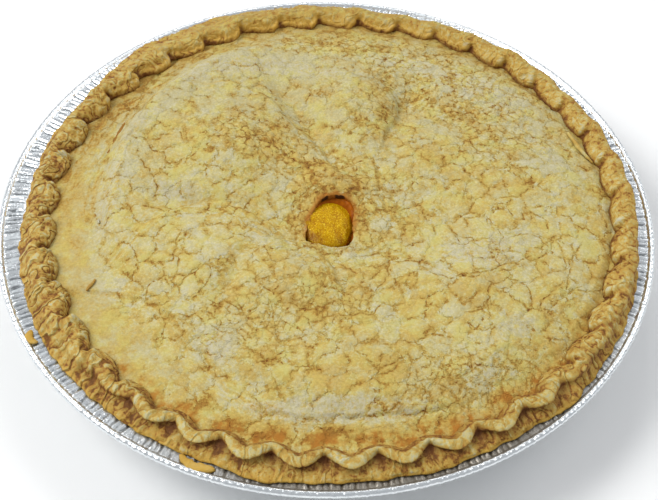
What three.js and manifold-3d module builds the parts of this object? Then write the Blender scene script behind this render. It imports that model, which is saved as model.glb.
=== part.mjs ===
// A double-crust peach pie in its foil tin, in millimetres, +Z up.
// The origin is the middle of the tin's bottom face. The pie is one crust with a fluted edge and a lumpy lid,
// a fruit filling that shows at the steam vent, and a piece of peach standing in the vent.

import * as THREE from 'three';
import { mergeVertices } from 'three/addons/utils/BufferGeometryUtils.js';
import Module from 'manifold-3d';

const wasm = await Module();
wasm.setup();

// Foil tin
const TIN_RADIUS = 152.4;
const TIN_DEPTH = 34;
const TIN_WALL = 0.8;
const TIN_BASE_RADIUS = 120;
const FLANGE_INNER_RADIUS = 139.5;
const BEAD_RADIUS = 1.6;
const BEAD_STEPS = 5;
const TIN_SEGMENTS = 96;

// Room left between pieces that lie on each other
const GAP = 0.3;
const WALL_GAP = 0.45;

// Fluted edge: the ridge of pinched dough stands on the tin's flange, a little off the tin's centre
const FLUTES = 40;
const STEPS_PER_FLUTE = 8;
const TIP_ANGLE = -0.85;
const EDGE_CENTRE = [3.0, -0.9];
const RIDGE_INNER_RADIUS = 131.2;
const RIDGE_INNER_SWING = 1.9;
const RIDGE_OUTER_RADIUS = 139.2;
const RIDGE_OUTER_SWING = 2.3;
const RIDGE_OUTER_DROP = 1.8;
const RIDGE_HEIGHT = 8.8;
const SCOOP_RADIUS = 142.0;
const SCOOP_SWING = 1.8;
const SCOOP_INSET = 1.8;
const SKIRT_RADIUS = 143.3;
const SKIRT_LEAN = 1.9;
const SKIRT_LEAN_ANGLE = -40;
const SKIRT_THICKNESS = 1.7;
const SKIRT_UNDERCUT = 0.5;
const SCOOP_RISE = 1.0;

// The ridge's inner face: where its shoulder stands, how far that is under the crest, and its foot in the moat
const SHOULDER_INSET = 1.1;
const SHOULDER_DROP = 1.4;
const RIDGE_FOOT_DEPTH = 0.6;

// How far hand work makes each part of the edge wander, and how far the crest rises at each lobe
const INNER_WANDER = 0.5;
const OUTER_WANDER = 0.6;
const SKIRT_WANDER = 0.5;
const CREST_WANDER = 0.7;
const CREST_SWING = 0.5;

// Thin tongues of dough that spread over the flange: angle, reach and width in degrees
const TONGUES = [
  { angle: -101, reach: 3.6, width: 4.2 },
  { angle: -111, reach: 1.6, width: 2.4 },
  { angle: -46, reach: 2.6, width: 3.2 },
  { angle: 154, reach: 1.8, width: 2.0 },
  { angle: 131, reach: 3.6, width: 4.0 },
  { angle: 112, reach: 3.8, width: 4.5 },
  { angle: 97, reach: 4.0, width: 4.5 },
  { angle: 62, reach: 1.4, width: 3.0 },
];

// Lid: between the mound over the fruit and the ridge it lies low, as a moat
const LID_THICKNESS = 3.5;
const MOAT_HEIGHT = 3.0;
const SHELF_RISE = 2.2;
const SHELF_RADIUS = 130;
const SHELF_START = 6;
const MIDDLE_HEIGHT = 9.0;
const MIDDLE_RADIUS = 5;

// The mound, by direction: radius of its foot, width of its flank and height of its brow over the flange
const MOUND = [
  { angle: -180, foot: 112, flank: 12, brow: 12.0 },
  { angle: -150, foot: 107, flank: 14, brow: 8.5 },
  { angle: -120, foot: 107, flank: 14, brow: 8.0 },
  { angle: -90, foot: 117, flank: 13, brow: 8.5 },
  { angle: -60, foot: 123, flank: 16, brow: 9.0 },
  { angle: -30, foot: 130, flank: 24, brow: 9.0 },
  { angle: 0, foot: 131, flank: 26, brow: 9.0 },
  { angle: 30, foot: 130, flank: 26, brow: 9.0 },
  { angle: 60, foot: 128, flank: 24, brow: 8.5 },
  { angle: 90, foot: 126, flank: 20, brow: 9.5 },
  { angle: 120, foot: 123, flank: 15, brow: 13.5 },
  { angle: 150, foot: 117, flank: 13, brow: 15.0 },
];

// Lumps and hollows of the lid over the fruit: place, rise, half length, half width, turn in degrees
const LUMPS = [
  { x: -46, y: 30, rise: 5.0, long: 38, wide: 26, turn: -42 },
  { x: -58, y: -33, rise: 5.0, long: 30, wide: 20, turn: -8 },
  { x: -16, y: -50, rise: 5.0, long: 19, wide: 18, turn: 0 },
  { x: 12, y: 62, rise: 6.0, long: 26, wide: 20, turn: -55 },
  { x: 45, y: 30, rise: 2.5, long: 22, wide: 18, turn: 20 },
  { x: 60, y: -50, rise: 2.6, long: 30, wide: 20, turn: -40 },
  { x: 14, y: -86, rise: 2.2, long: 44, wide: 15, turn: 4 },
  { x: 88, y: 12, rise: 2.0, long: 18, wide: 28, turn: 0 },
  { x: 2, y: 6, rise: 4.6, long: 15, wide: 11, turn: 0 },
  { x: -14, y: 56, rise: -4.0, long: 34, wide: 6, turn: -60 },
  { x: -62, y: -5, rise: -3.4, long: 34, wide: 6, turn: -8 },
  { x: -20, y: -22, rise: -2.6, long: 18, wide: 6, turn: -32 },
  { x: 38, y: 60, rise: -3.0, long: 28, wide: 7, turn: 72 },
  { x: 10, y: -34, rise: -2.4, long: 24, wide: 8, turn: 0 },
  { x: -40, y: -46, rise: -2.4, long: 16, wide: 5, turn: 68 },
  { x: 64, y: 92, rise: -1.6, long: 34, wide: 12, turn: -42 },
];
const UNEVEN_HEIGHT = 0.5;

// Stations of the lid's rings: 0 at the vent, 1 at the brow of the mound, 2 at its foot, 3 at the ridge
const MOAT_START_RADIUS = 126;
const OUTER_LID_STATIONS = [2.5, 2, 1.5, 1, 0.88];
const INNER_LID_STATIONS = [0.77, 0.66, 0.55, 0.44, 0.34, 0.24, 0.15, 0.08, 0.03, 0];
const UNDER_LID_STATIONS = [1.85, 1.45, 1, 0.76, 0.52, 0.3, 0.12];

// Steam vent in the lid, an oval hole torn by the steam, and the crust under and round the fruit
const VENT_CENTRE = [1.7, -14.6];
const VENT_HALF_WIDTH = 10.3;
const VENT_HALF_LENGTH = 13.6;
const VENT_SQUARENESS = 2.5;
const CRUST_FLOOR = 3.5;
const CRUST_SIDE = 5;
const CAVITY_TOP_RADIUS = 127;
const CAVITY_SHOULDER_DROP = 4.5;

// Small cut in the lid near the vent: place, size, depth and turn in degrees
const SLIT = { x: 48.8, y: -77.1, long: 9, wide: 1.6, deep: 1.6, turn: -3 };

// Filling in the vent and the piece of peach that stands in it
const GEL_LEVEL = 1.4;
const GEL_EDGE_RISE = 1.8;
const GEL_LEAN = 1.4;
const GEL_LEAN_ANGLE = 30;
const GEL_EDGE_SHARE = 1.02;
const GEL_FLAT_SHARE = 0.8;
const PEACH_CENTRE = [-0.3, -13.0, -1.2];
const PEACH_HALF_SIZE = [11.2, 14.6, 9.4];
const PEACH_TURN = 14;
const PEACH_GAP = 0.35;

const CRUST_COLOUR = 0xd8c084;
const FILLING_COLOUR = 0xa8570f;
const PEACH_COLOUR = 0xe0a416;
const FOIL_COLOUR = 0xc9ced2;

const FLANGE_TOP = TIN_DEPTH;
const EDGE_SEGMENTS = FLUTES * STEPS_PER_FLUTE;
const LID_SEGMENTS = EDGE_SEGMENTS / 2;
const INNER_SEGMENTS = EDGE_SEGMENTS / 4;
const CAVITY_SEGMENTS = EDGE_SEGMENTS / 5;

const radians = THREE.MathUtils.degToRad;
const mix = THREE.MathUtils.lerp;
const smooth = THREE.MathUtils.smoothstep;

// Angle from one direction to another, in degrees between -180 and 180
function turnBetween(angle, other) {
  return THREE.MathUtils.euclideanModulo(angle - other + 180, 360) - 180;
}

// Place along a flute: 0 at an inward tip of the ridge, 0.5 at the crease between two lobes
function alongFlute(angle) {
  const pitch = 360 / FLUTES;
  return THREE.MathUtils.euclideanModulo(angle - TIP_ANGLE, pitch) / pitch;
}

// The lobes are round on the inner side, with sharp creases between them; the outer side is the reverse
function innerSwing(angle) {
  return 1 - 2 * Math.pow(Math.abs(Math.cos(Math.PI * alongFlute(angle))), 1.2);
}

function outerSwing(angle) {
  return 2 * Math.pow(Math.abs(Math.sin(Math.PI * alongFlute(angle))), 1.2) - 1;
}

// Each lobe of the ridge is pinched by hand, so its height and reach wander a little
function handWander(angle) {
  const a = radians(angle);
  return 0.5 * Math.sin(7 * a + 1.3) + 0.35 * Math.sin(17 * a + 0.4) + 0.3 * Math.sin(29 * a + 2.1);
}

function edgePoint(radius, angle, z) {
  const a = radians(angle);
  return [EDGE_CENTRE[0] + radius * Math.cos(a), EDGE_CENTRE[1] + radius * Math.sin(a), z];
}

function tinPoint(radius, angle, z) {
  const a = radians(angle);
  return [radius * Math.cos(a), radius * Math.sin(a), z];
}

function ridgeInner(angle) {
  return RIDGE_INNER_RADIUS + RIDGE_INNER_SWING * innerSwing(angle) + INNER_WANDER * handWander(angle);
}

function ridgeOuter(angle) {
  return RIDGE_OUTER_RADIUS + RIDGE_OUTER_SWING * outerSwing(angle) + OUTER_WANDER * handWander(angle);
}

function skirtEdge(angle) {
  const lean = SKIRT_LEAN * Math.cos(radians(angle - SKIRT_LEAN_ANGLE));
  let reach = SKIRT_RADIUS + lean + SKIRT_WANDER * handWander(2 * angle + 40);
  for (const tongue of TONGUES) {
    const away = turnBetween(angle, tongue.angle) / tongue.width;
    reach += tongue.reach * Math.exp(-away * away);
  }
  return reach;
}

// Foot of the ridge's outer face, kept on the skirt, which is measured from the tin's centre
function scoopFoot(angle) {
  const a = radians(angle);
  const toEdgeCentre = EDGE_CENTRE[0] * Math.cos(a) + EDGE_CENTRE[1] * Math.sin(a);
  const onSkirt = skirtEdge(angle) - SCOOP_INSET - toEdgeCentre;
  return Math.min(SCOOP_RADIUS + SCOOP_SWING * outerSwing(angle), onSkirt);
}

// Lid: a mound that is high on one side, sunk in the middle, with lumps where the fruit lies close under it
function lumpRise(lump, x, y) {
  const c = Math.cos(radians(lump.turn));
  const s = Math.sin(radians(lump.turn));
  const along = ((x - lump.x) * c + (y - lump.y) * s) / lump.long;
  const across = ((y - lump.y) * c - (x - lump.x) * s) / lump.wide;
  return lump.rise * Math.exp(-along * along - across * across);
}

// One measure of the mound in a direction, blended between the two nearest listed directions
function moundMeasure(angle, measure) {
  const place = THREE.MathUtils.euclideanModulo(angle + 180, 360) / 360 * MOUND.length;
  const before = Math.floor(place) % MOUND.length;
  const after = (before + 1) % MOUND.length;
  return mix(MOUND[before][measure], MOUND[after][measure], smooth(place - Math.floor(place), 0, 1));
}

function lidHeight(x, y) {
  const dx = x - EDGE_CENTRE[0];
  const dy = y - EDGE_CENTRE[1];
  const radius = Math.hypot(dx, dy);
  const angle = THREE.MathUtils.radToDeg(Math.atan2(dy, dx));
  const foot = moundMeasure(angle, 'foot');
  const brow = foot - moundMeasure(angle, 'flank');
  const onMound = 1 - smooth(radius, brow, foot);
  const height = mix(MIDDLE_HEIGHT, moundMeasure(angle, 'brow'), smooth(radius, MIDDLE_RADIUS, brow));
  const shelf = MOAT_HEIGHT + SHELF_RISE * (1 - smooth(radius, foot - SHELF_START, SHELF_RADIUS));
  const waves = Math.sin(x / 9 + 0.6 * Math.sin(y / 13)) + Math.sin(y / 11 + 0.8 * Math.sin(x / 17));
  let lumps = 0;
  for (const lump of LUMPS) lumps += lumpRise(lump, x, y);
  return FLANGE_TOP + shelf + onMound * (height - shelf + lumps + UNEVEN_HEIGHT * waves);
}

function ventPoint(angle) {
  const c = Math.cos(radians(angle));
  const s = Math.sin(radians(angle));
  const p = VENT_SQUARENESS;
  const fill = Math.pow(Math.abs(c / VENT_HALF_WIDTH), p) + Math.pow(Math.abs(s / VENT_HALF_LENGTH), p);
  const reach = Math.pow(fill, -1 / p);
  return [VENT_CENTRE[0] + reach * c, VENT_CENTRE[1] + reach * s];
}

// A ring is a closed loop of points that starts at an inward tip of the ridge; a ring of one point is a pole
function ring(segments, pointAt) {
  return Array.from({ length: segments }, (_, i) => pointAt(TIP_ANGLE + i * 360 / segments));
}

// Skin between two rings, which may have different numbers of points, both starting at the same angle
function bridge(triangles, startA, countA, startB, countB) {
  let a = 0;
  let b = 0;
  while (a < countA || b < countB) {
    const stepA = countA > 1 && (b >= countB || countB === 1 || (a + 1) * countB <= (b + 1) * countA);
    const pointA = startA + (a % countA);
    const pointB = startB + (b % countB);
    if (stepA && a < countA) {
      a += 1;
      triangles.push(pointA, startA + (a % countA), pointB);
    } else if (countB > 1 && b < countB) {
      b += 1;
      triangles.push(pointA, startB + (b % countB), pointB);
    } else {
      break;
    }
  }
}

// Closed body skinned over a run of rings, from the pole under it to the pole at its end, or downwards
function skin(rings, downwards = false) {
  const positions = [];
  const triangles = [];
  const starts = [];
  for (const loop of rings) {
    starts.push(positions.length / 3);
    for (const point of loop) positions.push(...point);
  }
  for (let i = 0; i + 1 < rings.length; i += 1) {
    bridge(triangles, starts[i], rings[i].length, starts[i + 1], rings[i + 1].length);
  }
  if (downwards) triangles.reverse();
  const geometry = new THREE.BufferGeometry();
  geometry.setAttribute('position', new THREE.Float32BufferAttribute(positions, 3));
  geometry.setIndex(triangles);
  return geometry;
}

function toSolid(geometry) {
  const bare = geometry.clone();
  bare.deleteAttribute('normal');
  bare.deleteAttribute('uv');
  const merged = mergeVertices(bare, 1e-4);
  return new wasm.Manifold(new wasm.Mesh({
    numProp: 3,
    vertProperties: new Float32Array(merged.attributes.position.array),
    triVerts: new Uint32Array(merged.index.array),
  }));
}

function fromSolid(solid) {
  const mesh = solid.getMesh();
  const geometry = new THREE.BufferGeometry();
  geometry.setAttribute('position', new THREE.Float32BufferAttribute(mesh.vertProperties, mesh.numProp));
  geometry.setIndex(Array.from(mesh.triVerts));
  return geometry;
}

// Foil tin: flat base, sloping side, flat flange and the rolled bead round its rim
function tinGeometry() {
  const beadMiddle = new THREE.Vector2(TIN_RADIUS - BEAD_RADIUS, FLANGE_TOP - TIN_WALL / 2);
  const flangeEnd = TIN_RADIUS - 2 * BEAD_RADIUS;
  const bead = [];
  for (let i = 0; i <= BEAD_STEPS; i += 1) {
    const a = radians(mix(-150, 150, i / BEAD_STEPS));
    const round = new THREE.Vector2(Math.cos(a), Math.sin(a)).multiplyScalar(BEAD_RADIUS);
    bead.push(round.add(beadMiddle));
  }
  const profile = [
    new THREE.Vector2(0, 0),
    new THREE.Vector2(TIN_BASE_RADIUS, 0),
    new THREE.Vector2(FLANGE_INNER_RADIUS + TIN_WALL, FLANGE_TOP - 2 * TIN_WALL),
    new THREE.Vector2(FLANGE_INNER_RADIUS + 2 * TIN_WALL, FLANGE_TOP - TIN_WALL),
    new THREE.Vector2(flangeEnd, FLANGE_TOP - TIN_WALL),
    ...bead,
    new THREE.Vector2(flangeEnd, FLANGE_TOP),
    new THREE.Vector2(FLANGE_INNER_RADIUS + TIN_WALL, FLANGE_TOP),
    new THREE.Vector2(FLANGE_INNER_RADIUS, FLANGE_TOP - TIN_WALL),
    new THREE.Vector2(TIN_BASE_RADIUS - TIN_WALL / 2, TIN_WALL),
    new THREE.Vector2(0, TIN_WALL),
  ];
  return new THREE.LatheGeometry(profile, TIN_SEGMENTS).rotateX(Math.PI / 2);
}

// A point of the lid's top, or of a face at some depth under it, by its station on the way out from the vent
function lidPoint(angle, station, depth) {
  const foot = moundMeasure(angle, 'foot');
  const stops = [
    ventPoint(angle),
    edgePoint(foot - moundMeasure(angle, 'flank'), angle, 0),
    edgePoint(Math.min(foot, MOAT_START_RADIUS), angle, 0),
    edgePoint(ridgeInner(angle), angle, 0),
  ];
  const leg = Math.min(Math.floor(station), stops.length - 2);
  const x = mix(stops[leg][0], stops[leg + 1][0], station - leg);
  const y = mix(stops[leg][1], stops[leg + 1][1], station - leg);
  return [x, y, lidHeight(x, y) - depth];
}

// Hollow inside the crust, or the filling in it when shrunk by a gap
function cavityRings(gap) {
  const underLid = (angle, station) => lidPoint(angle, station, LID_THICKNESS + gap);
  const floorZ = TIN_WALL + GAP + CRUST_FLOOR + gap;
  const floorRadius = TIN_BASE_RADIUS - CRUST_SIDE - gap;
  const shoulderZ = FLANGE_TOP + MOAT_HEIGHT - LID_THICKNESS - CAVITY_SHOULDER_DROP - gap;
  return [
    ring(CAVITY_SEGMENTS, (angle) => tinPoint(floorRadius, angle, floorZ)),
    ring(CAVITY_SEGMENTS, (angle) => tinPoint(CAVITY_TOP_RADIUS - gap, angle, shoulderZ)),
    ...UNDER_LID_STATIONS.map((station) => ring(CAVITY_SEGMENTS, (angle) => underLid(angle, station))),
  ];
}

// Crust: base, sides, fluted edge and lid in one piece of dough, open at the vent
function crustGeometry() {
  const bottomZ = TIN_WALL + GAP;
  const skirtBottom = FLANGE_TOP + GAP;
  const skirtTop = skirtBottom + SKIRT_THICKNESS;
  const crestZ = (angle) => (
    FLANGE_TOP + RIDGE_HEIGHT + CREST_SWING * outerSwing(angle) + CREST_WANDER * handWander(angle));
  const ridgeCrest = (angle) => mix(ridgeInner(angle), ridgeOuter(angle), 0.5);
  const outside = [
    [tinPoint(0, 0, bottomZ)],
    ring(INNER_SEGMENTS, (angle) => tinPoint(TIN_BASE_RADIUS / 2, angle, bottomZ)),
    ring(INNER_SEGMENTS, (angle) => tinPoint(TIN_BASE_RADIUS - TIN_WALL - WALL_GAP, angle, bottomZ)),
    ring(INNER_SEGMENTS, (angle) => tinPoint(FLANGE_INNER_RADIUS - TIN_WALL - WALL_GAP, angle, skirtBottom)),
    ring(LID_SEGMENTS, (angle) => tinPoint(skirtEdge(angle) - SKIRT_UNDERCUT, angle, skirtBottom)),
    ring(EDGE_SEGMENTS, (angle) => tinPoint(skirtEdge(angle), angle, skirtTop)),
    ring(EDGE_SEGMENTS, (angle) => edgePoint(scoopFoot(angle), angle, skirtTop + SCOOP_RISE)),
  ];
  const ridge = [
    ring(EDGE_SEGMENTS, (angle) => edgePoint(ridgeOuter(angle), angle, crestZ(angle) - RIDGE_OUTER_DROP)),
    ring(EDGE_SEGMENTS, (angle) => edgePoint(ridgeCrest(angle), angle, crestZ(angle))),
    ring(EDGE_SEGMENTS, (angle) => (
      edgePoint(ridgeInner(angle) + SHOULDER_INSET, angle, crestZ(angle) - SHOULDER_DROP))),
    ring(EDGE_SEGMENTS, (angle) => (
      edgePoint(ridgeInner(angle), angle, FLANGE_TOP + MOAT_HEIGHT - RIDGE_FOOT_DEPTH))),
  ];
  const lid = [
    ...OUTER_LID_STATIONS.map((station) => ring(LID_SEGMENTS, (angle) => lidPoint(angle, station, 0))),
    ...INNER_LID_STATIONS.map((station) => ring(INNER_SEGMENTS, (angle) => lidPoint(angle, station, 0))),
  ];
  const ventWall = ring(INNER_SEGMENTS, (angle) => lidPoint(angle, 0, LID_THICKNESS));
  const inside = [ventWall, ...cavityRings(0).reverse(), [tinPoint(0, 0, TIN_WALL + GAP + CRUST_FLOOR)]];
  return skin([...outside, ...ridge, ...lid, ...inside]);
}

// The slit is a shallow boat-shaped groove, sunk into the lid along its own slope
function slitSolid() {
  const boat = new THREE.SphereGeometry(1, 12, 6).scale(SLIT.long / 2, SLIT.wide / 2, SLIT.deep);
  boat.rotateZ(radians(SLIT.turn)).translate(SLIT.x, SLIT.y, lidHeight(SLIT.x, SLIT.y));
  return toSolid(boat);
}

// Filling: takes up the hollow of the crust and sinks to the level of the gel in the vent; its rings run
// downwards, as those inside the crust do, so that the two faces stay parallel
function fillingGeometry() {
  const gelPoint = (angle, share, rise) => {
    const [ventX, ventY] = ventPoint(angle);
    const lean = share * GEL_LEAN * Math.cos(radians(angle - GEL_LEAN_ANGLE));
    const z = FLANGE_TOP + GEL_LEVEL + rise + lean;
    return [mix(VENT_CENTRE[0], ventX, share), mix(VENT_CENTRE[1], ventY, share), z];
  };
  const rings = [
    [tinPoint(0, 0, TIN_WALL + GAP + CRUST_FLOOR + GAP)],
    ...cavityRings(WALL_GAP),
    ring(CAVITY_SEGMENTS, (angle) => gelPoint(angle, GEL_EDGE_SHARE, GEL_EDGE_RISE)),
    ring(CAVITY_SEGMENTS / 2, (angle) => gelPoint(angle, GEL_FLAT_SHARE, 0)),
    [gelPoint(0, 0, 0)],
  ];
  return skin(rings.reverse(), true);
}

function peachGeometry(extra) {
  const [halfX, halfY, halfZ] = PEACH_HALF_SIZE.map((half) => half + extra);
  const [x, y, aboveFlange] = PEACH_CENTRE;
  const ball = new THREE.SphereGeometry(1, 16, 10).rotateX(Math.PI / 2).scale(halfX, halfY, halfZ);
  return ball.rotateZ(radians(PEACH_TURN)).translate(x, y, FLANGE_TOP + aboveFlange);
}

function addPiece(group, name, geometry, colour, roughness, metalness) {
  const material = new THREE.MeshStandardMaterial({ color: colour, roughness, metalness });
  const piece = new THREE.Mesh(geometry, material);
  piece.name = name;
  group.add(piece);
}

const crust = toSolid(crustGeometry()).subtract(slitSolid());
const filling = toSolid(fillingGeometry()).subtract(toSolid(peachGeometry(PEACH_GAP)));

const group = new THREE.Group();
addPiece(group, 'foil_tin', tinGeometry(), FOIL_COLOUR, 0.35, 0.9);
addPiece(group, 'crust', fromSolid(crust), CRUST_COLOUR, 0.85, 0);
addPiece(group, 'filling', fromSolid(filling), FILLING_COLOUR, 0.25, 0);
addPiece(group, 'peach_piece', peachGeometry(0), PEACH_COLOUR, 0.3, 0);

export default group;
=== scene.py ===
import math
import bpy
import numpy as np
from mathutils import Matrix, Vector


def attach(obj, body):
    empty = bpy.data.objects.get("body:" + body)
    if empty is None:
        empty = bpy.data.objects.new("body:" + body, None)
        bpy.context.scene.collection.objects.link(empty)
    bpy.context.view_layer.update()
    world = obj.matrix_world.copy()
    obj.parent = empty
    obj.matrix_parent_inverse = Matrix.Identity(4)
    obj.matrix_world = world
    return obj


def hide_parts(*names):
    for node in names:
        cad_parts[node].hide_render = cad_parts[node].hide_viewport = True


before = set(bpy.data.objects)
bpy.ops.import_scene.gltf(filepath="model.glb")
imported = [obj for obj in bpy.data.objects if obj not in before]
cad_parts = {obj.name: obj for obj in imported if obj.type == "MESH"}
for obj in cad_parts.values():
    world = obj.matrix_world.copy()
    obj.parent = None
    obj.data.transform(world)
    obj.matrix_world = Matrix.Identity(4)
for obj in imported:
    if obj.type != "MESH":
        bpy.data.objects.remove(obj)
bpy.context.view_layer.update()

# The view.
# The pie lies flat and is seen from its near side, from about 48 degrees above the table.
# Places on the lid are given as pixels of the photograph and are carried onto the dough through this camera.
MM = 0.001
PHOTO_WIDTH = 658
PHOTO_HEIGHT = 500
FLANGE_Z = 34.0
RIM_RADIUS = 152.4
CAMERA_DISTANCE = 4.117 * RIM_RADIUS
CAMERA_ELEVATION = math.radians(47.87)
CAMERA_FOCAL_PIXELS = 1338.3
CAMERA_PAN = math.radians(-0.13)
CAMERA_TILT = math.radians(-1.66)
CAMERA_ROLL = math.radians(-0.91)

back = Vector((0, -math.cos(CAMERA_ELEVATION), math.sin(CAMERA_ELEVATION)))
right = Vector((1, 0, 0))
up = back.cross(right)
eye = back * CAMERA_DISTANCE + Vector((0, 0, FLANGE_Z))
aim = Matrix.Rotation(CAMERA_PAN, 3, up) @ Matrix.Rotation(CAMERA_TILT, 3, right)
back, right, up = aim @ back, aim @ right, aim @ up
roll = Matrix.Rotation(CAMERA_ROLL, 3, -back)
right, up = roll @ right, roll @ up

camera = bpy.data.objects.new("camera", bpy.data.cameras.new("camera"))
bpy.context.scene.collection.objects.link(camera)
camera.data.sensor_width = 36
camera.data.lens = camera.data.sensor_width * CAMERA_FOCAL_PIXELS / PHOTO_WIDTH
camera.matrix_world = Matrix.Translation(eye * MM) @ Matrix((right, up, back)).transposed().to_4x4()
bpy.context.scene.camera = camera


def sight_line(px, py):
    """Direction, in millimetres a unit, from the eye through a pixel of the photograph."""
    across = (px - PHOTO_WIDTH / 2) / CAMERA_FOCAL_PIXELS
    rise = (PHOTO_HEIGHT / 2 - py) / CAMERA_FOCAL_PIXELS
    return right * across + up * rise - back


# The foil tin.
# A 12 inch pie tin, pressed from one disc of thin aluminium foil: flat base, sloping ribbed side, a flat
# flange that the press gathers into fine radial ribs, and an edge rolled outwards into a bead.
TIN_WALL = 0.8
TIN_BASE_RADIUS = 120.0
BASE_STEP_RADIUS = 96.0
BASE_STEP_WIDTH = 3.0
BASE_STEP_HEIGHT = 0.7
FLANGE_INNER_RADIUS = 139.5
BEAD_RADIUS = 1.6
BEAD_TURN = 165
BEAD_POINTS = 14
RIB_COUNT = 352
RIB_STEPS = 5
PLEAT_COUNT = 157
UNEVENNESS_OF_RIBS = 9.0
FLANGE_RIB_HEIGHT = 0.30
SIDE_RIB_DEPTH = 0.45
BEAD_CRIMP = 0.09

# Radii on the flange and heights on the side at which the ribs begin, are full, are still full, and end
FLANGE_RIBS = (141.0, 142.5, 148.6, 149.3)
SIDE_RIBS = (2.0, 5.0, 28.0, 32.0)

# The part of the flange where a painted reflection of the crust makes the foil brown-grey, duller and less
# metallic: its middle and its spread, in degrees
CRUST_REFLECTION_PART = (-76, 42)
FOIL_COLOUR = "#f0f4f6"
FOIL_DULL_COLOUR = "#e2e7ea"
FOIL_VALLEY_SHADE_COLOUR = "#6c7073"
FOIL_CRUST_REFLECTION_COLOUR = "#6c604c"


def circle(radius, z, count):
    """A level ring of points round the tin's middle, in millimetres."""
    angles = np.arange(count) * 2 * np.pi / count
    return np.stack([radius * np.cos(angles), radius * np.sin(angles), np.full(count, float(z))], 1)


def between_rings(first, count, second, other):
    """Faces of the skin between two rings of points, which may differ in number; one point is a pole."""
    if count == other:
        i = np.arange(count)
        j = (i + 1) % count
        return np.stack([first + i, first + j, second + j, second + i], 1).tolist()
    faces, a, b = [], 0, 0
    while a < count or b < other:
        step_a = b >= other or other == 1 or (a < count and count > 1 and (a + 1) * other <= (b + 1) * count)
        if step_a and count > 1 and a < count:
            faces.append((first + a, first + (a + 1) % count, second + b % other))
            a += 1
        elif other > 1 and b < other:
            faces.append((first + a % count, second + (b + 1) % other, second + b))
            b += 1
        else:
            break
    return faces


def skin(name, rings, closed=False):
    """A mesh over a run of rings, given in millimetres. Rings that go out, up and in have faces outwards."""
    starts = np.concatenate([[0], np.cumsum([len(r) for r in rings])])
    faces = []
    for i in range(len(rings) - 1 + closed):
        j = (i + 1) % len(rings)
        faces += between_rings(int(starts[i]), len(rings[i]), int(starts[j]), len(rings[j]))
    mesh = bpy.data.meshes.new(name)
    mesh.from_pydata((np.concatenate(rings) * MM).tolist(), [], faces)
    mesh.shade_smooth()
    piece = bpy.data.objects.new(name, mesh)
    bpy.context.scene.collection.objects.link(piece)
    return piece


def points_of(piece):
    """The points of a piece's mesh, in millimetres."""
    return np.array([v.co for v in piece.data.vertices]) / MM


def mark(piece, name, values):
    """Keeps one number, or three, for each point of a piece, for its material or its node tree."""
    kind = "FLOAT" if np.ndim(values) == 1 else "FLOAT_VECTOR"
    layer = piece.data.attributes.new(name, kind, "POINT")
    layer.data.foreach_set("value" if kind == "FLOAT" else "vector", np.ravel(values).astype(np.float32))


def between(value, start, full, still, end):
    """1 from full to still, falling evenly to 0 at start and at end."""
    return np.interp(value, [start, full, still, end], [0, 1, 1, 0])


def heading_of(x, y, centre=(0, 0)):
    """Angle in degrees, from the right-hand side round by the back, at which places lie from a centre."""
    return np.degrees(np.arctan2(y - centre[1], x - centre[0]))


def turn_between(angle, other):
    return (angle - other + 180) % 360 - 180


def sector(angle, middle, spread):
    """1 in the part of the pie round one angle, falling off about as many degrees from it as the spread."""
    return np.exp(-(turn_between(angle, middle) / spread) ** 4)


class Amount:
    """A number, a place or a colour that changes over a piece. Plus, minus and times reckon with numbers."""

    def __init__(self, tree, socket):
        self.tree = tree
        self.socket = socket

    def __add__(self, other):
        return reckon("ADD", self, other)

    def __sub__(self, other):
        return reckon("SUBTRACT", self, other)

    def __rsub__(self, other):
        return reckon("SUBTRACT", other, self)

    def __mul__(self, other):
        return reckon("MULTIPLY", self, other)

    __radd__ = __add__


def fill_inputs(node, inputs):
    """Sets a node's inputs, by name or number, to plain values or to amounts from other nodes."""
    for name, value in dict(inputs).items():
        if isinstance(value, Amount):
            value.tree.links.new(value.socket, node.inputs[name])
        else:
            node.inputs[name].default_value = value


def put(tree, kind, inputs=(), **settings):
    """Adds a node to a tree."""
    node = tree.nodes.new(kind)
    for name, value in settings.items():
        setattr(node, name, value)
    fill_inputs(node, inputs)
    return node


def give(tree, kind, inputs=(), output=0, **settings):
    """Adds a node to a tree and returns what comes out of it."""
    return Amount(tree, put(tree, kind, inputs, **settings).outputs[output])


def tree_of(values):
    return next(value.tree for value in values if isinstance(value, Amount))


def reckon(operation, *values):
    return give(tree_of(values), "ShaderNodeMath", enumerate(values), operation=operation)


def reckon_place(operation, *values, output=0, **named):
    """Reckons with places, which have three numbers each."""
    inputs = {**dict(enumerate(values)), **named}
    return give(tree_of(values), "ShaderNodeVectorMath", inputs, output, operation=operation)


def parts_of(place):
    """The three numbers of a place."""
    node = put(place.tree, "ShaderNodeSeparateXYZ", {0: place})
    return [Amount(place.tree, socket) for socket in node.outputs]


def ease(value, low, high, start=0.0, end=1.0):
    """Goes smoothly from start to end while value goes from low to high."""
    inputs = {"Value": value, "From Min": low, "From Max": high, "To Min": start, "To Max": end}
    return give(value.tree, "ShaderNodeMapRange", inputs, interpolation_type="SMOOTHSTEP")


def grain(place, size, detail=2.0, roughness=0.5, shift=None, output=0):
    """Soft noise whose lumps are about size metres across; a shift takes it from somewhere else."""
    if shift:
        place = reckon_place("ADD", place, shift)
    inputs = {"Vector": place, "Scale": 1 / size, "Detail": detail, "Roughness": roughness}
    return give(place.tree, "ShaderNodeTexNoise", inputs, output)


def kept(place, name):
    """A value that mark() kept for each point."""
    if place.tree.bl_idname == "ShaderNodeTree":
        return give(place.tree, "ShaderNodeAttribute", output="Fac", attribute_name=name)
    return give(place.tree, "GeometryNodeInputNamedAttribute", {"Name": name}, data_type="FLOAT")


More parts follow.
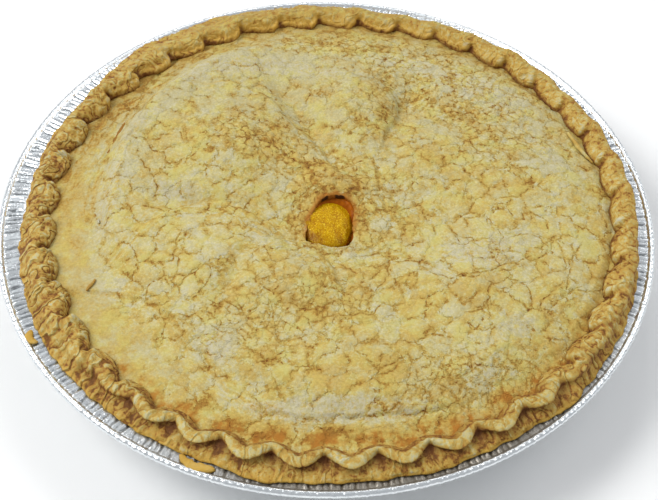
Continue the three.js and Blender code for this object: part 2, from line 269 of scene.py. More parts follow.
def colour(code):
    """Blender's linear colour for a code that names it as a screen shows it."""
    parts = [int(code[i:i + 2], 16) / 255 for i in (1, 3, 5)]
    linear = [c / 12.92 if c <= 0.04045 else ((c + 0.055) / 1.055) ** 2.4 for c in parts]
    return (*linear, 1.0)


def blend(share, first, second):
    """Goes from one colour, or colour code, to another."""
    first, second = [colour(c) if isinstance(c, str) else c for c in (first, second)]
    return give(share.tree, "ShaderNodeMix", {0: share, 6: first, 7: second}, 2, data_type="RGBA")


def bump(height, strength, depth):
    """The way a surface faces under a fine relief, whose depth is in metres."""
    inputs = {"Height": height, "Strength": strength, "Distance": depth}
    return give(height.tree, "ShaderNodeBump", inputs)


def new_material(name):
    """A material with its shader, and the place on the piece."""
    material = bpy.data.materials.new(name)
    material.use_nodes = True
    tree = material.node_tree
    return material, tree.nodes["Principled BSDF"], give(tree, "ShaderNodeTexCoord", output="Object")


def new_works(name, sizes):
    """A geometry node tree with named sizes; returns it, what it is given, and the place of each point."""
    works = bpy.data.node_groups.new(name, "GeometryNodeTree")
    works.interface.new_socket("Geometry", in_out="OUTPUT", socket_type="NodeSocketGeometry")
    kinds = {"Geometry": "Geometry", **dict.fromkeys(sizes, "Float"), "Material": "Material"}
    for label, kind in kinds.items():
        works.interface.new_socket(label, in_out="INPUT", socket_type="NodeSocket" + kind)
    node = works.nodes.new("NodeGroupInput")
    given = {label: Amount(works, node.outputs[label]) for label in kinds}
    return works, given, give(works, "GeometryNodeInputPosition")


def end_works(works, given, offset):
    """Moves the points and ends a tree as real mesh that carries the material."""
    moved = give(works, "GeometryNodeSetPosition", {"Geometry": given["Geometry"], "Offset": offset})
    real = give(works, "GeometryNodeRealizeInstances", {0: moved})
    dressed = give(works, "GeometryNodeSetMaterial", {"Geometry": real, "Material": given["Material"]})
    put(works, "NodeGroupOutput", {0: dressed})


def run_works(piece, works, sizes, material):
    """Runs a tree on a piece once and keeps the result as its plain mesh."""
    values = {**sizes, "Material": material}
    modifier = piece.modifiers.new(works.name, "NODES")
    modifier.node_group = works
    for socket in works.interface.items_tree:
        if socket.in_out == "INPUT" and socket.name in values:
            modifier[socket.identifier] = values[socket.name]
    depsgraph = bpy.context.evaluated_depsgraph_get()
    done = bpy.data.meshes.new_from_object(
        piece.evaluated_get(depsgraph), preserve_all_data_layers=True, depsgraph=depsgraph)
    piece.modifiers.clear()
    piece.data = done
    done.name = piece.name


def tin_rings():
    """Rings of the tin's sheet from the middle of its underside, round the bead, to the middle inside."""
    around = RIB_COUNT * RIB_STEPS
    flange_end = RIM_RADIUS - 2 * BEAD_RADIUS
    underside = FLANGE_Z - TIN_WALL
    under_corner = FLANGE_INNER_RADIUS + 2 * TIN_WALL
    step = BASE_STEP_WIDTH / 2
    rings = [
        *[circle(radius, BASE_STEP_HEIGHT, count)
          for radius, count in ((0.0, 1), (30, 44), (70, 88), (BASE_STEP_RADIUS - step, 176))],
        circle(BASE_STEP_RADIUS, BASE_STEP_HEIGHT / 2, 176),
        circle(BASE_STEP_RADIUS + step, 0.0, 176),
        circle(TIN_BASE_RADIUS - 3, 0.0, RIB_COUNT)]
    for share in (0.0, 0.03, 0.1, 0.2, 0.32, 0.44, 0.56, 0.68, 0.8, 0.9, 0.97):
        radius = TIN_BASE_RADIUS + share * (FLANGE_INNER_RADIUS + TIN_WALL - TIN_BASE_RADIUS)
        rings.append(circle(radius, share * (underside - TIN_WALL / 2), around))
    for share in (0.0, 0.25, 0.5, 0.75):
        rings.append(circle(under_corner + share * (flange_end - under_corner), underside, around))
    for angle in np.radians(np.linspace(-BEAD_TURN, BEAD_TURN, BEAD_POINTS)):
        radius = RIM_RADIUS - BEAD_RADIUS + BEAD_RADIUS * math.cos(angle)
        rings.append(circle(radius, FLANGE_Z - TIN_WALL / 2 + BEAD_RADIUS * math.sin(angle), around))
    for share in (0.96, 0.84, 0.7, 0.55, 0.4, 0.25, 0.1):
        radius = FLANGE_INNER_RADIUS + share * (flange_end - FLANGE_INNER_RADIUS)
        rings.append(circle(radius, FLANGE_Z, around))
    return rings + [
        circle(FLANGE_INNER_RADIUS, FLANGE_Z - TIN_WALL, RIB_COUNT),
        circle(TIN_BASE_RADIUS - TIN_WALL / 2, TIN_WALL, RIB_COUNT),
        circle(60, TIN_WALL, 88),
        circle(0.0, TIN_WALL, 1)]


tin = skin("tin", tin_rings())
tin_points = points_of(tin)
tin_radius = np.hypot(tin_points[:, 0], tin_points[:, 1])
tin_height = tin_points[:, 2]
outward = tin_points * [1, 1, 0] / np.maximum(tin_radius, 1)[:, None]
on_flange = between(tin_radius, *FLANGE_RIBS) * (tin_height > FLANGE_Z - 2)
on_side = between(tin_height, *SIDE_RIBS)
on_side = on_side * (tin_radius < 142) * (tin_radius > TIN_BASE_RADIUS + 0.2)
on_bead = 1.0 * (tin_radius > RIM_RADIUS - 2 * BEAD_RADIUS + 0.1)
press = on_flange[:, None] * [0, 0, FLANGE_RIB_HEIGHT] - on_side[:, None] * outward * SIDE_RIB_DEPTH
press = press + on_bead[:, None] * (outward + [0, 0, 0.6]) * BEAD_CRIMP
mark(tin, "press", press)
mark(tin, "flange", 0.75 * on_flange + 0.3 * on_side)
crust_reflection = sector(heading_of(tin_points[:, 0], tin_points[:, 1]), *CRUST_REFLECTION_PART)
mark(tin, "crust_reflection", crust_reflection * (tin_height > FLANGE_Z - 0.5) * (tin_radius < RIM_RADIUS - 1.9))

RIBS = {
    "Rib Count": float(RIB_COUNT), "Pleat Count": float(PLEAT_COUNT), "Unevenness": UNEVENNESS_OF_RIBS}


def rib_wave(place, ribs, pleats, unevenness):
    """The press's ribs, which run out from the middle over broader pleats and are not quite even."""
    x, y, _ = parts_of(place)
    angle = reckon("ARCTAN2", y, x)
    drift = grain(place, 0.009, 3.0) * unevenness
    narrow = reckon("SINE", angle * ribs + drift)
    broad = reckon("SINE", angle * pleats + drift)
    size = ease(grain(place, 0.007, shift=(0.4, 0.1, 0.2)), 0.25, 0.7, 0.25, 1.7)
    return (broad * 0.7 + narrow) * size


works, given, spot = new_works("pressed ribs", RIBS)
pressed = give(works, "GeometryNodeInputNamedAttribute", {"Name": "press"}, data_type="FLOAT_VECTOR")
wave = rib_wave(spot, *[given[name] for name in RIBS])
end_works(works, given, reckon_place("SCALE", pressed, Scale=wave * MM))

foil, shader, place = new_material("aluminium foil")
rub = grain(place, 0.004, 4.0, 0.6)
crust_reflection = kept(place, "crust_reflection")
# Painted shade: the valleys between the ribs are darkened in the foil's colour
valley_shade = ease(rib_wave(place, *RIBS.values()), -0.2, -1.3) * kept(place, "flange")
shade = blend(ease(rub, 0.35, 0.65), FOIL_COLOUR, FOIL_DULL_COLOUR)
shade = blend(valley_shade, shade, FOIL_VALLEY_SHADE_COLOUR)
# Painted reflection of the crust on the near flange
shade = blend(crust_reflection * 0.85, shade, FOIL_CRUST_REFLECTION_COLOUR)
fill_inputs(shader, {
    "Base Color": shade,
    "Roughness": ease(rub, 0.3, 0.7, 0.20, 0.36) + crust_reflection * 0.14,
    "Metallic": 1.0 - crust_reflection * 0.4,
    "Normal": bump(grain(place, 0.0016, 3.0, 0.6), 0.5, 0.0004)})
run_works(tin, works, RIBS, foil)
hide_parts("foil_tin")
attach(tin, "root")

# The crust in the tin.
# Rolled shortcrust laid in the tin and up its side. It has a plain form and colour here, because the tin,
# the lid and the pinched edge hide it.
CRUST_FLOOR = 3.5
CRUST_SIDE = 5.0
GAP = 0.3
WALL_GAP = 0.45
CAVITY_TOP_RADIUS = 127.0
CASE_FLAT_RADIUS = 60
CASE_ROUND = 160
CASE_COLOUR = "#cdb074"
CASE_BROWN = "#b98b4a"

case_top_radius = FLANGE_INNER_RADIUS - TIN_WALL - WALL_GAP
case = skin("crust_case", [
    circle(0.0, TIN_WALL + GAP, 1),
    circle(CASE_FLAT_RADIUS, TIN_WALL + GAP, CASE_ROUND // 2),
    circle(TIN_BASE_RADIUS - TIN_WALL - WALL_GAP, TIN_WALL + GAP, CASE_ROUND),
    circle(case_top_radius, FLANGE_Z + GAP, CASE_ROUND),
    circle(case_top_radius - 2, FLANGE_Z + 2, CASE_ROUND),
    circle(CAVITY_TOP_RADIUS + 2, FLANGE_Z, CASE_ROUND),
    circle(CAVITY_TOP_RADIUS, FLANGE_Z - 4, CASE_ROUND),
    circle(TIN_BASE_RADIUS - CRUST_SIDE, TIN_WALL + GAP + CRUST_FLOOR, CASE_ROUND),
    circle(CASE_FLAT_RADIUS, TIN_WALL + GAP + CRUST_FLOOR, CASE_ROUND // 2),
    circle(0.0, TIN_WALL + GAP + CRUST_FLOOR, 1),
])
baked_case, shader, place = new_material("baked dough case")
fill_inputs(shader, {
    "Base Color": blend(ease(grain(place, 0.02, 4.0, 0.6), 0.4, 0.62), CASE_COLOUR, CASE_BROWN),
    "Roughness": 0.85,
    "Normal": bump(grain(place, 0.003, 4.0), 1.0, 0.0006)})
case.data.materials.append(baked_case)
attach(case, "root")

# The lid.
# A sheet of rolled dough, floured, laid over the heaped fruit. It rises over the fruit in a mound with lumps
# and valleys, sinks to a moat along the edge, and its dry skin cracks into plates as it bakes.
EDGE_CENTRE = (3.0, -0.9)
FLUTES = 40
TIP_ANGLE = -0.85
RIDGE_INNER_RADIUS = 131.2
RIDGE_RADIUS = 137.0
RIDGE_INNER_SWING = 1.9
LID_THICKNESS = 3.5
LID_UNDER_RIDGE = 2.4
MOAT_HEIGHT = 3.0
SHELF_RISE = 2.2
SHELF_RADIUS = 130.0
MIDDLE_HEIGHT = 9.0
UNEVEN_HEIGHT = 0.5
VENT_CENTRE = (1.7, -14.6)
LID_STEP = 0.8
LID_REACH = 122
VENT_RADIUS = 12.0

# Parts of the lid beside the edge: the middle of each and its spread, in degrees
NEAR_SIDE = (-86, 64)
SHADED_SIDE = (12, 62)
LEFT_FLANK = (136, 42)
CALM_SIDE = (199, 38)
FAR_RIM = (105, 66)

# The vent's torn edge, as pixels that it runs through
VENT_OUTLINE = [
    (354, 213), (353, 204), (346, 196.5), (337, 194.5), (331, 194.5), (324, 197), (319, 201), (315, 208),
    (311.5, 215), (308.5, 222), (306.5, 229), (305, 236), (305.5, 240), (309, 242), (316, 243), (322, 244.5),
    (328, 246.5), (336, 247), (343, 246.5), (349.5, 244.5), (353.5, 238), (352.5, 228), (353, 220)]

# The mound every 30 degrees from -180: radius of its foot, width of its flank, height of its brow
MOUND = np.array([
    (112, 12, 12.0), (107, 14, 8.5), (107, 14, 8.0), (117, 13, 8.5), (123, 16, 9.0), (130, 24, 9.0),
    (131, 26, 9.0), (130, 26, 9.0), (128, 24, 8.5), (126, 20, 9.5), (123, 15, 13.5), (117, 13, 15.0)])

# Lumps and valleys: place, rise, half length, half width, turn in degrees
LUMPS = [
    (-46, 30, 5.0, 38, 26, -42), (-58, -33, 5.0, 30, 20, -8), (-16, -50, 5.0, 19, 18, 0),
    (12, 62, 6.0, 26, 20, -55), (45, 30, 2.5, 22, 18, 20), (60, -50, 2.6, 30, 20, -40),
    (14, -86, 2.2, 44, 15, 4), (88, 12, 2.0, 18, 28, 0), (2, 6, 4.6, 15, 11, 0),
    (-14, 56, -4.0, 34, 6, -60), (-62, -5, -3.4, 34, 6, -8), (-20, -22, -2.6, 18, 6, -32),
    (38, 60, -3.0, 28, 7, 72), (10, -34, -2.4, 24, 8, 0), (-40, -46, -2.4, 16, 5, 68),
    (64, 92, -1.6, 34, 12, -42)]


def smooth(value, low, high):
    share = np.clip((value - low) / (high - low), 0, 1)
    return share * share * (3 - 2 * share)


def mix(first, second, share):
    return first + (second - first) * share


def bell(value, middle, width):
    return np.exp(-((value - middle) / width) ** 2)


def swell(x, y, at_x, at_y, long, wide, turn):
    """1 in the middle of a long soft spot, falling to nothing outside it."""
    c, s = math.cos(math.radians(turn)), math.sin(math.radians(turn))
    along = ((x - at_x) * c + (y - at_y) * s) / long
    across = ((y - at_y) * c - (x - at_x) * s) / wide
    return np.exp(-along ** 2 - across ** 2)


def mound_measure(angle, column):
    """One column of MOUND at any angle, eased from each of its rows to the next."""
    place = (angle + 180) % 360 / 360 * len(MOUND)
    before = np.floor(place).astype(int) % len(MOUND)
    after = (before + 1) % len(MOUND)
    return mix(MOUND[before, column], MOUND[after, column], smooth(place - np.floor(place), 0, 1))


def lid_height(x, y):
    """Height of the lid's skin over the table, in millimetres, without its cracks and folds."""
    radius = np.hypot(x - EDGE_CENTRE[0], y - EDGE_CENTRE[1])
    angle = heading_of(x, y, EDGE_CENTRE)
    foot = mound_measure(angle, 0)
    brow = foot - mound_measure(angle, 1)
    on_mound = 1 - smooth(radius, brow, foot)
    height = mix(MIDDLE_HEIGHT, mound_measure(angle, 2), smooth(radius, 5, brow))
    shelf = MOAT_HEIGHT + SHELF_RISE * (1 - smooth(radius, foot - 6, SHELF_RADIUS))
    waves = np.sin(x / 9 + 0.6 * np.sin(y / 13)) + np.sin(y / 11 + 0.8 * np.sin(x / 17))
    lumps = sum(rise * swell(x, y, at_x, at_y, long, wide, turn)
                for at_x, at_y, rise, long, wide, turn in LUMPS)
    return FLANGE_Z + shelf + on_mound * (height - shelf + lumps + UNEVEN_HEIGHT * waves)


def on_lid(px, py):
    """Where the sight line through a pixel of the photograph meets the lid, in millimetres."""
    ray = sight_line(px, py)
    z = FLANGE_Z + MIDDLE_HEIGHT
    for _ in range(30):
        x, y = (eye + ray * ((z - eye.z) / ray.z)).xy
        z += 0.6 * (float(lid_height(np.array(x), np.array(y))) - z)
    return x, y


def along_flute(angle):
    """How far along its flute an angle lies: 0 and 1 at the tips, 0.5 at the crease between."""
    pitch = 360 / FLUTES
    return (angle - TIP_ANGLE) % pitch / pitch


def inner_swing(angle):
    """-1 at the tips of the flutes and 1 at the creases, where it bends sharply."""
    return 1 - 2 * np.abs(np.cos(np.pi * along_flute(angle))) ** 1.2


def outer_swing(angle):
    """-1 at the tips of the flutes, where it bends sharply, and 1 at the creases."""
    return 2 * np.abs(np.sin(np.pi * along_flute(angle))) ** 1.2 - 1


def hand_wander(angle):
    """The slow unevenness of work done by hand."""
    a = np.radians(angle)
    return 0.5 * np.sin(7 * a + 1.3) + 0.35 * np.sin(17 * a + 0.4) + 0.3 * np.sin(29 * a + 2.1)


def ridge_inner(angle):
    """Radius, round the edge's centre, at which the lid goes in under the ridge."""
    return RIDGE_INNER_RADIUS + RIDGE_INNER_SWING * inner_swing(angle) + 0.5 * hand_wander(angle)


vent_edge = np.array([on_lid(*p) for p in VENT_OUTLINE])
vent_angles = heading_of(vent_edge[:, 0], vent_edge[:, 1], VENT_CENTRE)
vent_reaches = np.hypot(*(vent_edge - VENT_CENTRE).T)


def vent_reach(angle):
    """Distance from the vent's middle to its torn edge."""
    a = np.radians(angle)
    frayed = 0.12 * np.sin(23 * a) + 0.1 * np.sin(37 * a + 1) + 0.08 * np.sin(61 * a + 2)
    return np.interp(angle, vent_angles, vent_reaches, period=360) + frayed


# How far apart the points of a fold or crack lie at most, how far they wander sideways as a share of each
# step, and how the lid sinks at a crack: its depth in millimetres and its width in half widths of the crack
RAGGED_STEP = 1.3
FOLD_WANDER = 0.08
CRACK_WANDER = 0.17
CRACK_DEPTH = 0.3
CRACK_SINK_WIDTH = 1.6

# Folds that show as creases in the dough: depth and width in millimetres, how far the right-hand side stands
# higher, and pixels that they run through
FOLDS = [
    (1.2, 1.6, 1.2, [
        (90, 224), (95, 190), (104, 160), (122, 128), (136, 99), (157, 76), (180, 58), (210, 48)]),
    (0.9, 1.2, 0.6, [(100, 222), (108, 186), (122, 152), (140, 118), (160, 86), (184, 66)]),
    (1.0, 1.3, 1.6, [
        (118, 258), (134, 236), (150, 219), (182, 205), (214, 201), (240, 206), (262, 218), (284, 237)]),
    (0.7, 1.0, 0.0, [(196, 212), (222, 204), (246, 224), (262, 236), (282, 239)]),
    (0.7, 1.0, 0.0, [(228, 190), (248, 206), (264, 226), (284, 238)]),
    (0.6, 1.0, 0.8, [(240, 250), (262, 243), (284, 239), (300, 240)]),
    (1.1, 1.4, 1.6, [(284, 239), (302, 241), (320, 252), (334, 268), (341, 286)]),
    (1.1, 1.6, 1.6, [(236, 82), (262, 92), (292, 122), (318, 146), (332, 164)]),
    (0.8, 1.2, 0.8, [(178, 76), (208, 84), (238, 80), (268, 92), (292, 98)]),
    (0.8, 1.3, 1.6, [(340, 70), (368, 76), (390, 88), (398, 104), (396, 122), (384, 140)]),
    (0.7, 1.2, 0.5, [(364, 146), (377, 170), (378, 196), (386, 214)]),
    (0.6, 1.0, 0.0, [(374, 77), (404, 61), (430, 56), (462, 60)]),
    (0.8, 1.0, -1.0, [(262, 412), (300, 418), (340, 418), (384, 415), (420, 412), (446, 407)]),
    (0.7, 1.1, -0.8, [(208, 368), (224, 388), (246, 402), (272, 411)]),
    (0.7, 1.2, -1.0, [(98, 292), (120, 296), (150, 301), (178, 320), (200, 350), (210, 372)]),
    (0.5, 1.0, 0.0, [(340, 248), (368, 254), (400, 252), (426, 262), (448, 272)]),
]

# Cracks that show as dark lines: half width in millimetres, and pixels that they run through
CRACKS = [
    (0.40, [(291, 228), (292, 210), (299, 197), (309, 188), (318, 186)]),
    (0.45, [(175, 166), (182, 159), (196, 152), (200, 144)]),
    (0.45, [(128, 134), (146, 138), (152, 150), (164, 152), (172, 166)]),
    (0.45, [(138, 150), (150, 168), (158, 186), (154, 200)]),
    (0.40, [(228, 196), (240, 188), (248, 180), (262, 178)]),
    (0.45, [(180, 234), (177, 248), (173, 260), (160, 262)]),
    (0.45, [(164, 276), (172, 286), (182, 284), (188, 274), (198, 266)]),
    (0.45, [(160, 262), (164, 276), (150, 284), (146, 296)]),
    (0.45, [(238, 288), (246, 282), (255, 277), (264, 287), (274, 294), (286, 290)]),
    (0.40, [(205, 262), (212, 270), (206, 284), (198, 292)]),
    (0.45, [(340, 263), (352, 258), (366, 255), (382, 255), (390, 261), (406, 260), (418, 261), (425, 268)]),
    (0.45, [(391, 262), (391, 275), (383, 283), (376, 290)]),
    (0.40, [(425, 267), (438, 274), (450, 280), (462, 273), (478, 271)]),
    (0.35, [(472, 196), (471, 208), (461, 217), (454, 222)]),
    (0.40, [(450, 228), (458, 236), (473, 238), (480, 246)]),
    (0.40, [(530, 211), (540, 216), (546, 219), (548, 228)]),
    (0.40, [(542, 250), (546, 242), (554, 236), (560, 246), (565, 262), (567, 276)]),
    (0.40, [(566, 290), (570, 272), (573, 256), (580, 246)]),
    (0.45, [(492, 282), (508, 277), (519, 281), (528, 287), (531, 304)]),
    (0.45, [(492, 282), (490, 296), (485, 309), (470, 312)]),
    (0.40, [(541, 308), (548, 296), (556, 289), (563, 282)]),
    (0.40, [(546, 316), (556, 304), (566, 294), (580, 290), (604, 288)]),
    (0.40, [(462, 274), (476, 276), (490, 270), (505, 264), (528, 257)]),
    (0.35, [(514, 236), (528, 234), (540, 237), (548, 246)]),
    (0.45, [(248, 347), (264, 358), (276, 358), (284, 350), (296, 352)]),
    (0.50, [(272, 306), (275, 322), (276, 334), (284, 341), (294, 339), (301, 337)]),
    (0.40, [(234, 340), (240, 345), (254, 352), (266, 360)]),
    (0.40, [(238, 302), (241, 308), (244, 314)]),
    (0.40, [(334, 319), (346, 315), (360, 313), (374, 313), (380, 306)]),
    (0.40, [(374, 369), (384, 367), (394, 363), (404, 357)]),
    (0.40, [(416, 380), (428, 379), (437, 378), (439, 372)]),
    (0.40, [(469, 352), (471, 362), (470, 373), (460, 377), (450, 381)]),
    (0.45, [(484, 303), (483, 316), (480, 324), (470, 332)]),
    (0.45, [(332, 418), (350, 417), (370, 416), (384, 414), (394, 408), (402, 400), (406, 392)]),
    (0.35, [(406, 414), (420, 412), (440, 409)]),
    (0.35, [(424, 395), (430, 386), (440, 384), (446, 388)]),
    (0.45, [(502, 380), (508, 370), (516, 368), (522, 360)]),
    (0.40, [(488, 396), (494, 408), (498, 416)]),
    (0.40, [(84, 286), (86, 280), (92, 278)]),
    (0.40, [(116, 318), (122, 312), (130, 311)]),
    (0.45, [(212, 326), (222, 332), (236, 328), (246, 340)]),
    (0.40, [(456, 136), (470, 140), (478, 150), (492, 154)]),
    (0.70, [(470, 103), (478, 104), (486, 103)]),
    (0.60, [(428, 334), (434, 333), (441, 335), (449, 337)]),
    (0.35, [(488, 218), (498, 226), (504, 236), (500, 246)]),
]

# Soft spots of the lid, at pixels: half length and half width in millimetres, turn in degrees, strength
FLOUR_SPOTS = [
    (104, 222, 16, 8, 85, 0.8), (116, 176, 20, 9, 70, 0.9), (146, 118, 24, 8, 52, 0.9),
    (192, 74, 24, 9, 28, 0.8), (245, 62, 26, 9, 5, 0.9), (300, 70, 24, 9, 0, 0.8), (352, 74, 20, 8, 0, 0.6),
    (395, 60, 14, 7, 0, 0.8), (165, 192, 11, 8, 0, 1.0), (110, 290, 14, 9, -30, 0.8),
    (210, 334, 16, 10, -40, 0.8), (222, 352, 9, 8, 0, 0.6), (272, 409, 22, 4, -8, 1.0),
    (330, 412, 28, 4.5, 0, 1.1), (402, 408, 24, 4.5, 4, 1.0), (306, 400, 7, 5, 0, 0.8),
    (344, 402, 7, 4, 0, 0.8), (376, 403, 7, 4, 0, 0.7), (460, 250, 15, 7, 0, 1.0), (502, 244, 17, 9, 0, 1.0),
    (482, 262, 14, 6, 0, 0.7), (395, 185, 7, 8, 0, 0.7), (408, 204, 7, 7, 0, 0.6), (392, 131, 5, 5, 0, 0.9),
    (520, 324, 15, 8, 15, 0.9), (480, 372, 16, 9, 0, 0.8), (440, 76, 26, 10, -20, 0.8),
    (498, 100, 30, 15, -34, 1.0), (546, 152, 22, 9, -58, 0.8), (345, 250, 22, 5, -12, 0.9),
    (262, 240, 16, 6, -20, 0.7), (188, 192, 14, 8, -20, 0.5), (436, 270, 10, 5, -30, 0.7),
]
GOLD_SPOTS = [
    (72, 196, 7, 26, 10, 1.3), (88, 140, 7, 24, -22, 1.9), (124, 92, 6, 24, -44, 2.0),
    (300, 164, 26, 9, -22, 0.35), (262, 150, 16, 9, -20, 0.3), (380, 100, 10, 13, 0, 0.9),
    (432, 148, 16, 9, -10, 0.8), (497, 186, 14, 8, 0, 0.7), (284, 272, 24, 15, -30, 0.6),
    (350, 290, 30, 15, 0, 0.4), (412, 286, 14, 10, 0, 0.6), (532, 280, 14, 8, 0, 0.6),
    (300, 380, 34, 12, 0, 0.8), (392, 382, 32, 14, 0, 0.7), (74, 276, 10, 24, 20, 0.7),
    (150, 334, 24, 10, -28, 0.3), (330, 431, 70, 5, 0, 1.1), (206, 402, 34, 7, -30, 1.0),
    (478, 424, 34, 8, 26, 1.0), (560, 352, 30, 10, 58, 0.9), (598, 290, 24, 7, 80, 0.7),
    (322, 178, 10, 6, 0, 0.8), (240, 300, 14, 12, 0, 0.4),
]
# Brown spots are partly the dough's own browning and partly painted shade, on the right flanks of lumps and
# in pits inside the near crest
BROWN_AND_SHADE_SPOTS = [
    (350, 441, 12, 2.2, 0, 1.4), (410, 437, 9, 2.2, 8, 1.1), (268, 434, 7, 2.0, 0, 0.8),
    (393, 118, 3.5, 11, 0, 1.6), (391, 128, 4, 5, 0, 0.8), (198, 406, 5, 3, 0, 1.0),
    (306, 162, 24, 8, -24, 0.6), (262, 150, 14, 9, -20, 0.4), (302, 205, 6, 13, 10, 0.8),
    (330, 184, 13, 5, 0, 1.0), (358, 205, 5, 14, 0, 0.8), (250, 128, 16, 9, -10, 0.6),
    (380, 108, 8, 9, 0, 0.6), (420, 152, 14, 7, 0, 0.5), (320, 300, 16, 12, 0, 0.5),
    (270, 320, 18, 14, 0, 0.5), (330, 436, 60, 3.5, 0, 1.0), (530, 282, 12, 6, 0, 0.5),
    (340, 40, 28, 9, 0, 0.7), (420, 66, 20, 8, -18, 0.5), (450, 110, 20, 12, -30, 0.5),
    (330, 120, 18, 12, -40, 0.4), (310, 272, 12, 10, 0, 0.6),
]
FINE_SPOTS = [
    (345, 45, 34, 10, 0, 1.0), (420, 82, 22, 16, -20, 0.9), (452, 108, 20, 12, -30, 0.9),
    (300, 162, 26, 11, -24, 1.0), (250, 132, 22, 12, -10, 0.8), (330, 210, 26, 24, 0, 0.7),
    (380, 210, 16, 16, 0, 0.6), (320, 296, 26, 20, 0, 0.5), (466, 378, 26, 14, 10, 0.7),
    (236, 322, 24, 16, 0, 0.5), (372, 112, 14, 16, 0, 0.6), (505, 125, 34, 16, -42, 0.6),
    (474, 80, 48, 18, -22, 0.7), (470, 160, 24, 16, 0, 0.3),
]


def ragged(points, rng, wander):
    """A run of points with ever finer bends between them, as a crack in dry dough has."""
    points = np.array(points, float)
    while True:
        steps = np.diff(points, axis=0)
        if np.hypot(steps[:, 0], steps[:, 1]).max() < RAGGED_STEP:
            return points
        middles = (points[1:] + points[:-1]) / 2
        sideways = np.stack([-steps[:, 1], steps[:, 0]], 1)
        middles += sideways * rng.uniform(-wander, wander, (len(middles), 1))
        points = np.insert(points, np.arange(1, len(points)), middles, axis=0)


FAR = 12.0


def distance_to_run(x, y, run):
    """Distance to a run of points, negative on its right-hand side; FAR where it isn't near."""
    best = np.full(x.shape, FAR)
    signed = np.full(x.shape, FAR)
    low, high = run.min(0) - FAR, run.max(0) + FAR
    near = np.flatnonzero((x > low[0]) & (x < high[0]) & (y > low[1]) & (y < high[1]))
    for (ax, ay), (bx, by) in zip(run[:-1], run[1:]):
        px, py = x[near] - ax, y[near] - ay
        dx, dy = bx - ax, by - ay
        t = np.clip((px * dx + py * dy) / (dx * dx + dy * dy), 0, 1)
        gap = np.hypot(px - t * dx, py - t * dy)
        closer = gap < best[near]
        side = np.where(dx * py - dy * px < 0, -1.0, 1.0)
        chosen = near[closer]
        best[chosen] = gap[closer]
        signed[chosen] = (gap * side)[closer]
    return best, signed


def spots_at(x, y, spots):
    """How strongly soft spots cover places on the lid."""
    total = np.zeros(x.shape)
    for px, py, long, wide, turn, strength in spots:
        total += strength * swell(x, y, *on_lid(px, py), long, wide, turn)
    return np.clip(total, 0, 1.2)


def lid_ring(share, count, reach, drop=0.0):
    """A ring on the lid, from the vent's torn edge (share 0) out to its reach round the edge's centre."""
    angles = TIP_ANGLE + np.arange(count) * 360 / count
    a = np.radians(angles)
    vent = vent_reach(angles)
    outer = reach(angles)
    x = mix(VENT_CENTRE[0] + vent * np.cos(a), EDGE_CENTRE[0] + outer * np.cos(a), share)
    y = mix(VENT_CENTRE[1] + vent * np.sin(a), EDGE_CENTRE[1] + outer * np.sin(a), share)
    return np.stack([x, y, lid_height(x, y) - drop], 1)


def top_ring(share):
    """A ring of the lid's skin, with about one point every LID_STEP millimetres."""
    typical = mix(VENT_RADIUS, RIDGE_INNER_RADIUS, share)
    count = max(120, int(round(2 * np.pi * typical / LID_STEP / 8)) * 8)
    return lid_ring(share, count, lambda angles: ridge_inner(angles) + LID_UNDER_RIDGE)


def vent_wall_ring(rim, depth, outwards):
    """The vent's rim, set deeper and pushed out from the vent's middle."""
    ring = rim.copy()
    away = (ring[:, :2] - VENT_CENTRE) / np.linalg.norm(ring[:, :2] - VENT_CENTRE, axis=1)[:, None]
    ring[:, :2] += away * outwards
    ring[:, 2] -= depth
    return ring


# Rings of the lid from under the ridge in to the vent, down its wall, and back out underneath
steps = int(round(LID_REACH / LID_STEP))
top_rings = [top_ring(1 - i / steps) for i in range(steps + 1)]
wall_rings = [vent_wall_ring(top_rings[-1], depth, outwards) for depth, outwards in
              [(0.25, -0.15), (0.8, -0.2), (1.6, 0.0), (2.5, 0.25), (3.3, 0.2)]]
under_rings = [
    lid_ring(share, 96, lambda angles: RIDGE_INNER_RADIUS + 2, LID_THICKNESS * mix(1.0, 0.6, share))
    for share in (0.06, 0.2, 0.35, 0.48, 0.58, 0.67, 0.75, 0.82, 0.89, 0.95, 1.0)]
lid = skin("lid", [*top_rings, *wall_rings, *under_rings], closed=True)
lid_points = points_of(lid)
x, y = lid_points[:, 0], lid_points[:, 1]
on_top = np.arange(len(x)) < sum(len(ring) for ring in top_rings)

rng = np.random.default_rng(5)
relief = np.zeros(len(x))
fold_shade = np.zeros(len(x))
fold_gap, fold_side = np.full((2, len(x)), FAR)
for depth, width, step, pixels in FOLDS:
    gap, side = distance_to_run(x, y, ragged([on_lid(*p) for p in pixels], rng, FOLD_WANDER))
    relief -= 0.55 * depth * bell(gap, 0, 0.7 * width)
    relief -= 0.5 * step * np.tanh(side / 0.8) * np.exp(-gap / 5)
    fold_shade = np.maximum(fold_shade, bell(gap, 0, 0.8 * width))
    fold_side = np.where(gap < fold_gap, side, fold_side)
    fold_gap = np.minimum(gap, fold_gap)
crack_gap, crack_side = np.full((2, len(x)), FAR)
for width, pixels in CRACKS:
    gap, side = distance_to_run(x, y, ragged([on_lid(*p) for p in pixels], rng, CRACK_WANDER))
    crack_side = np.where(gap / width < crack_gap, side / width, crack_side)
    crack_gap = np.minimum(gap / width, crack_gap)
relief -= CRACK_DEPTH * bell(crack_gap, 0, CRACK_SINK_WIDTH)
lid_points[:, 2] += relief * on_top
lid.data.vertices.foreach_set("co", (lid_points * MM).ravel())

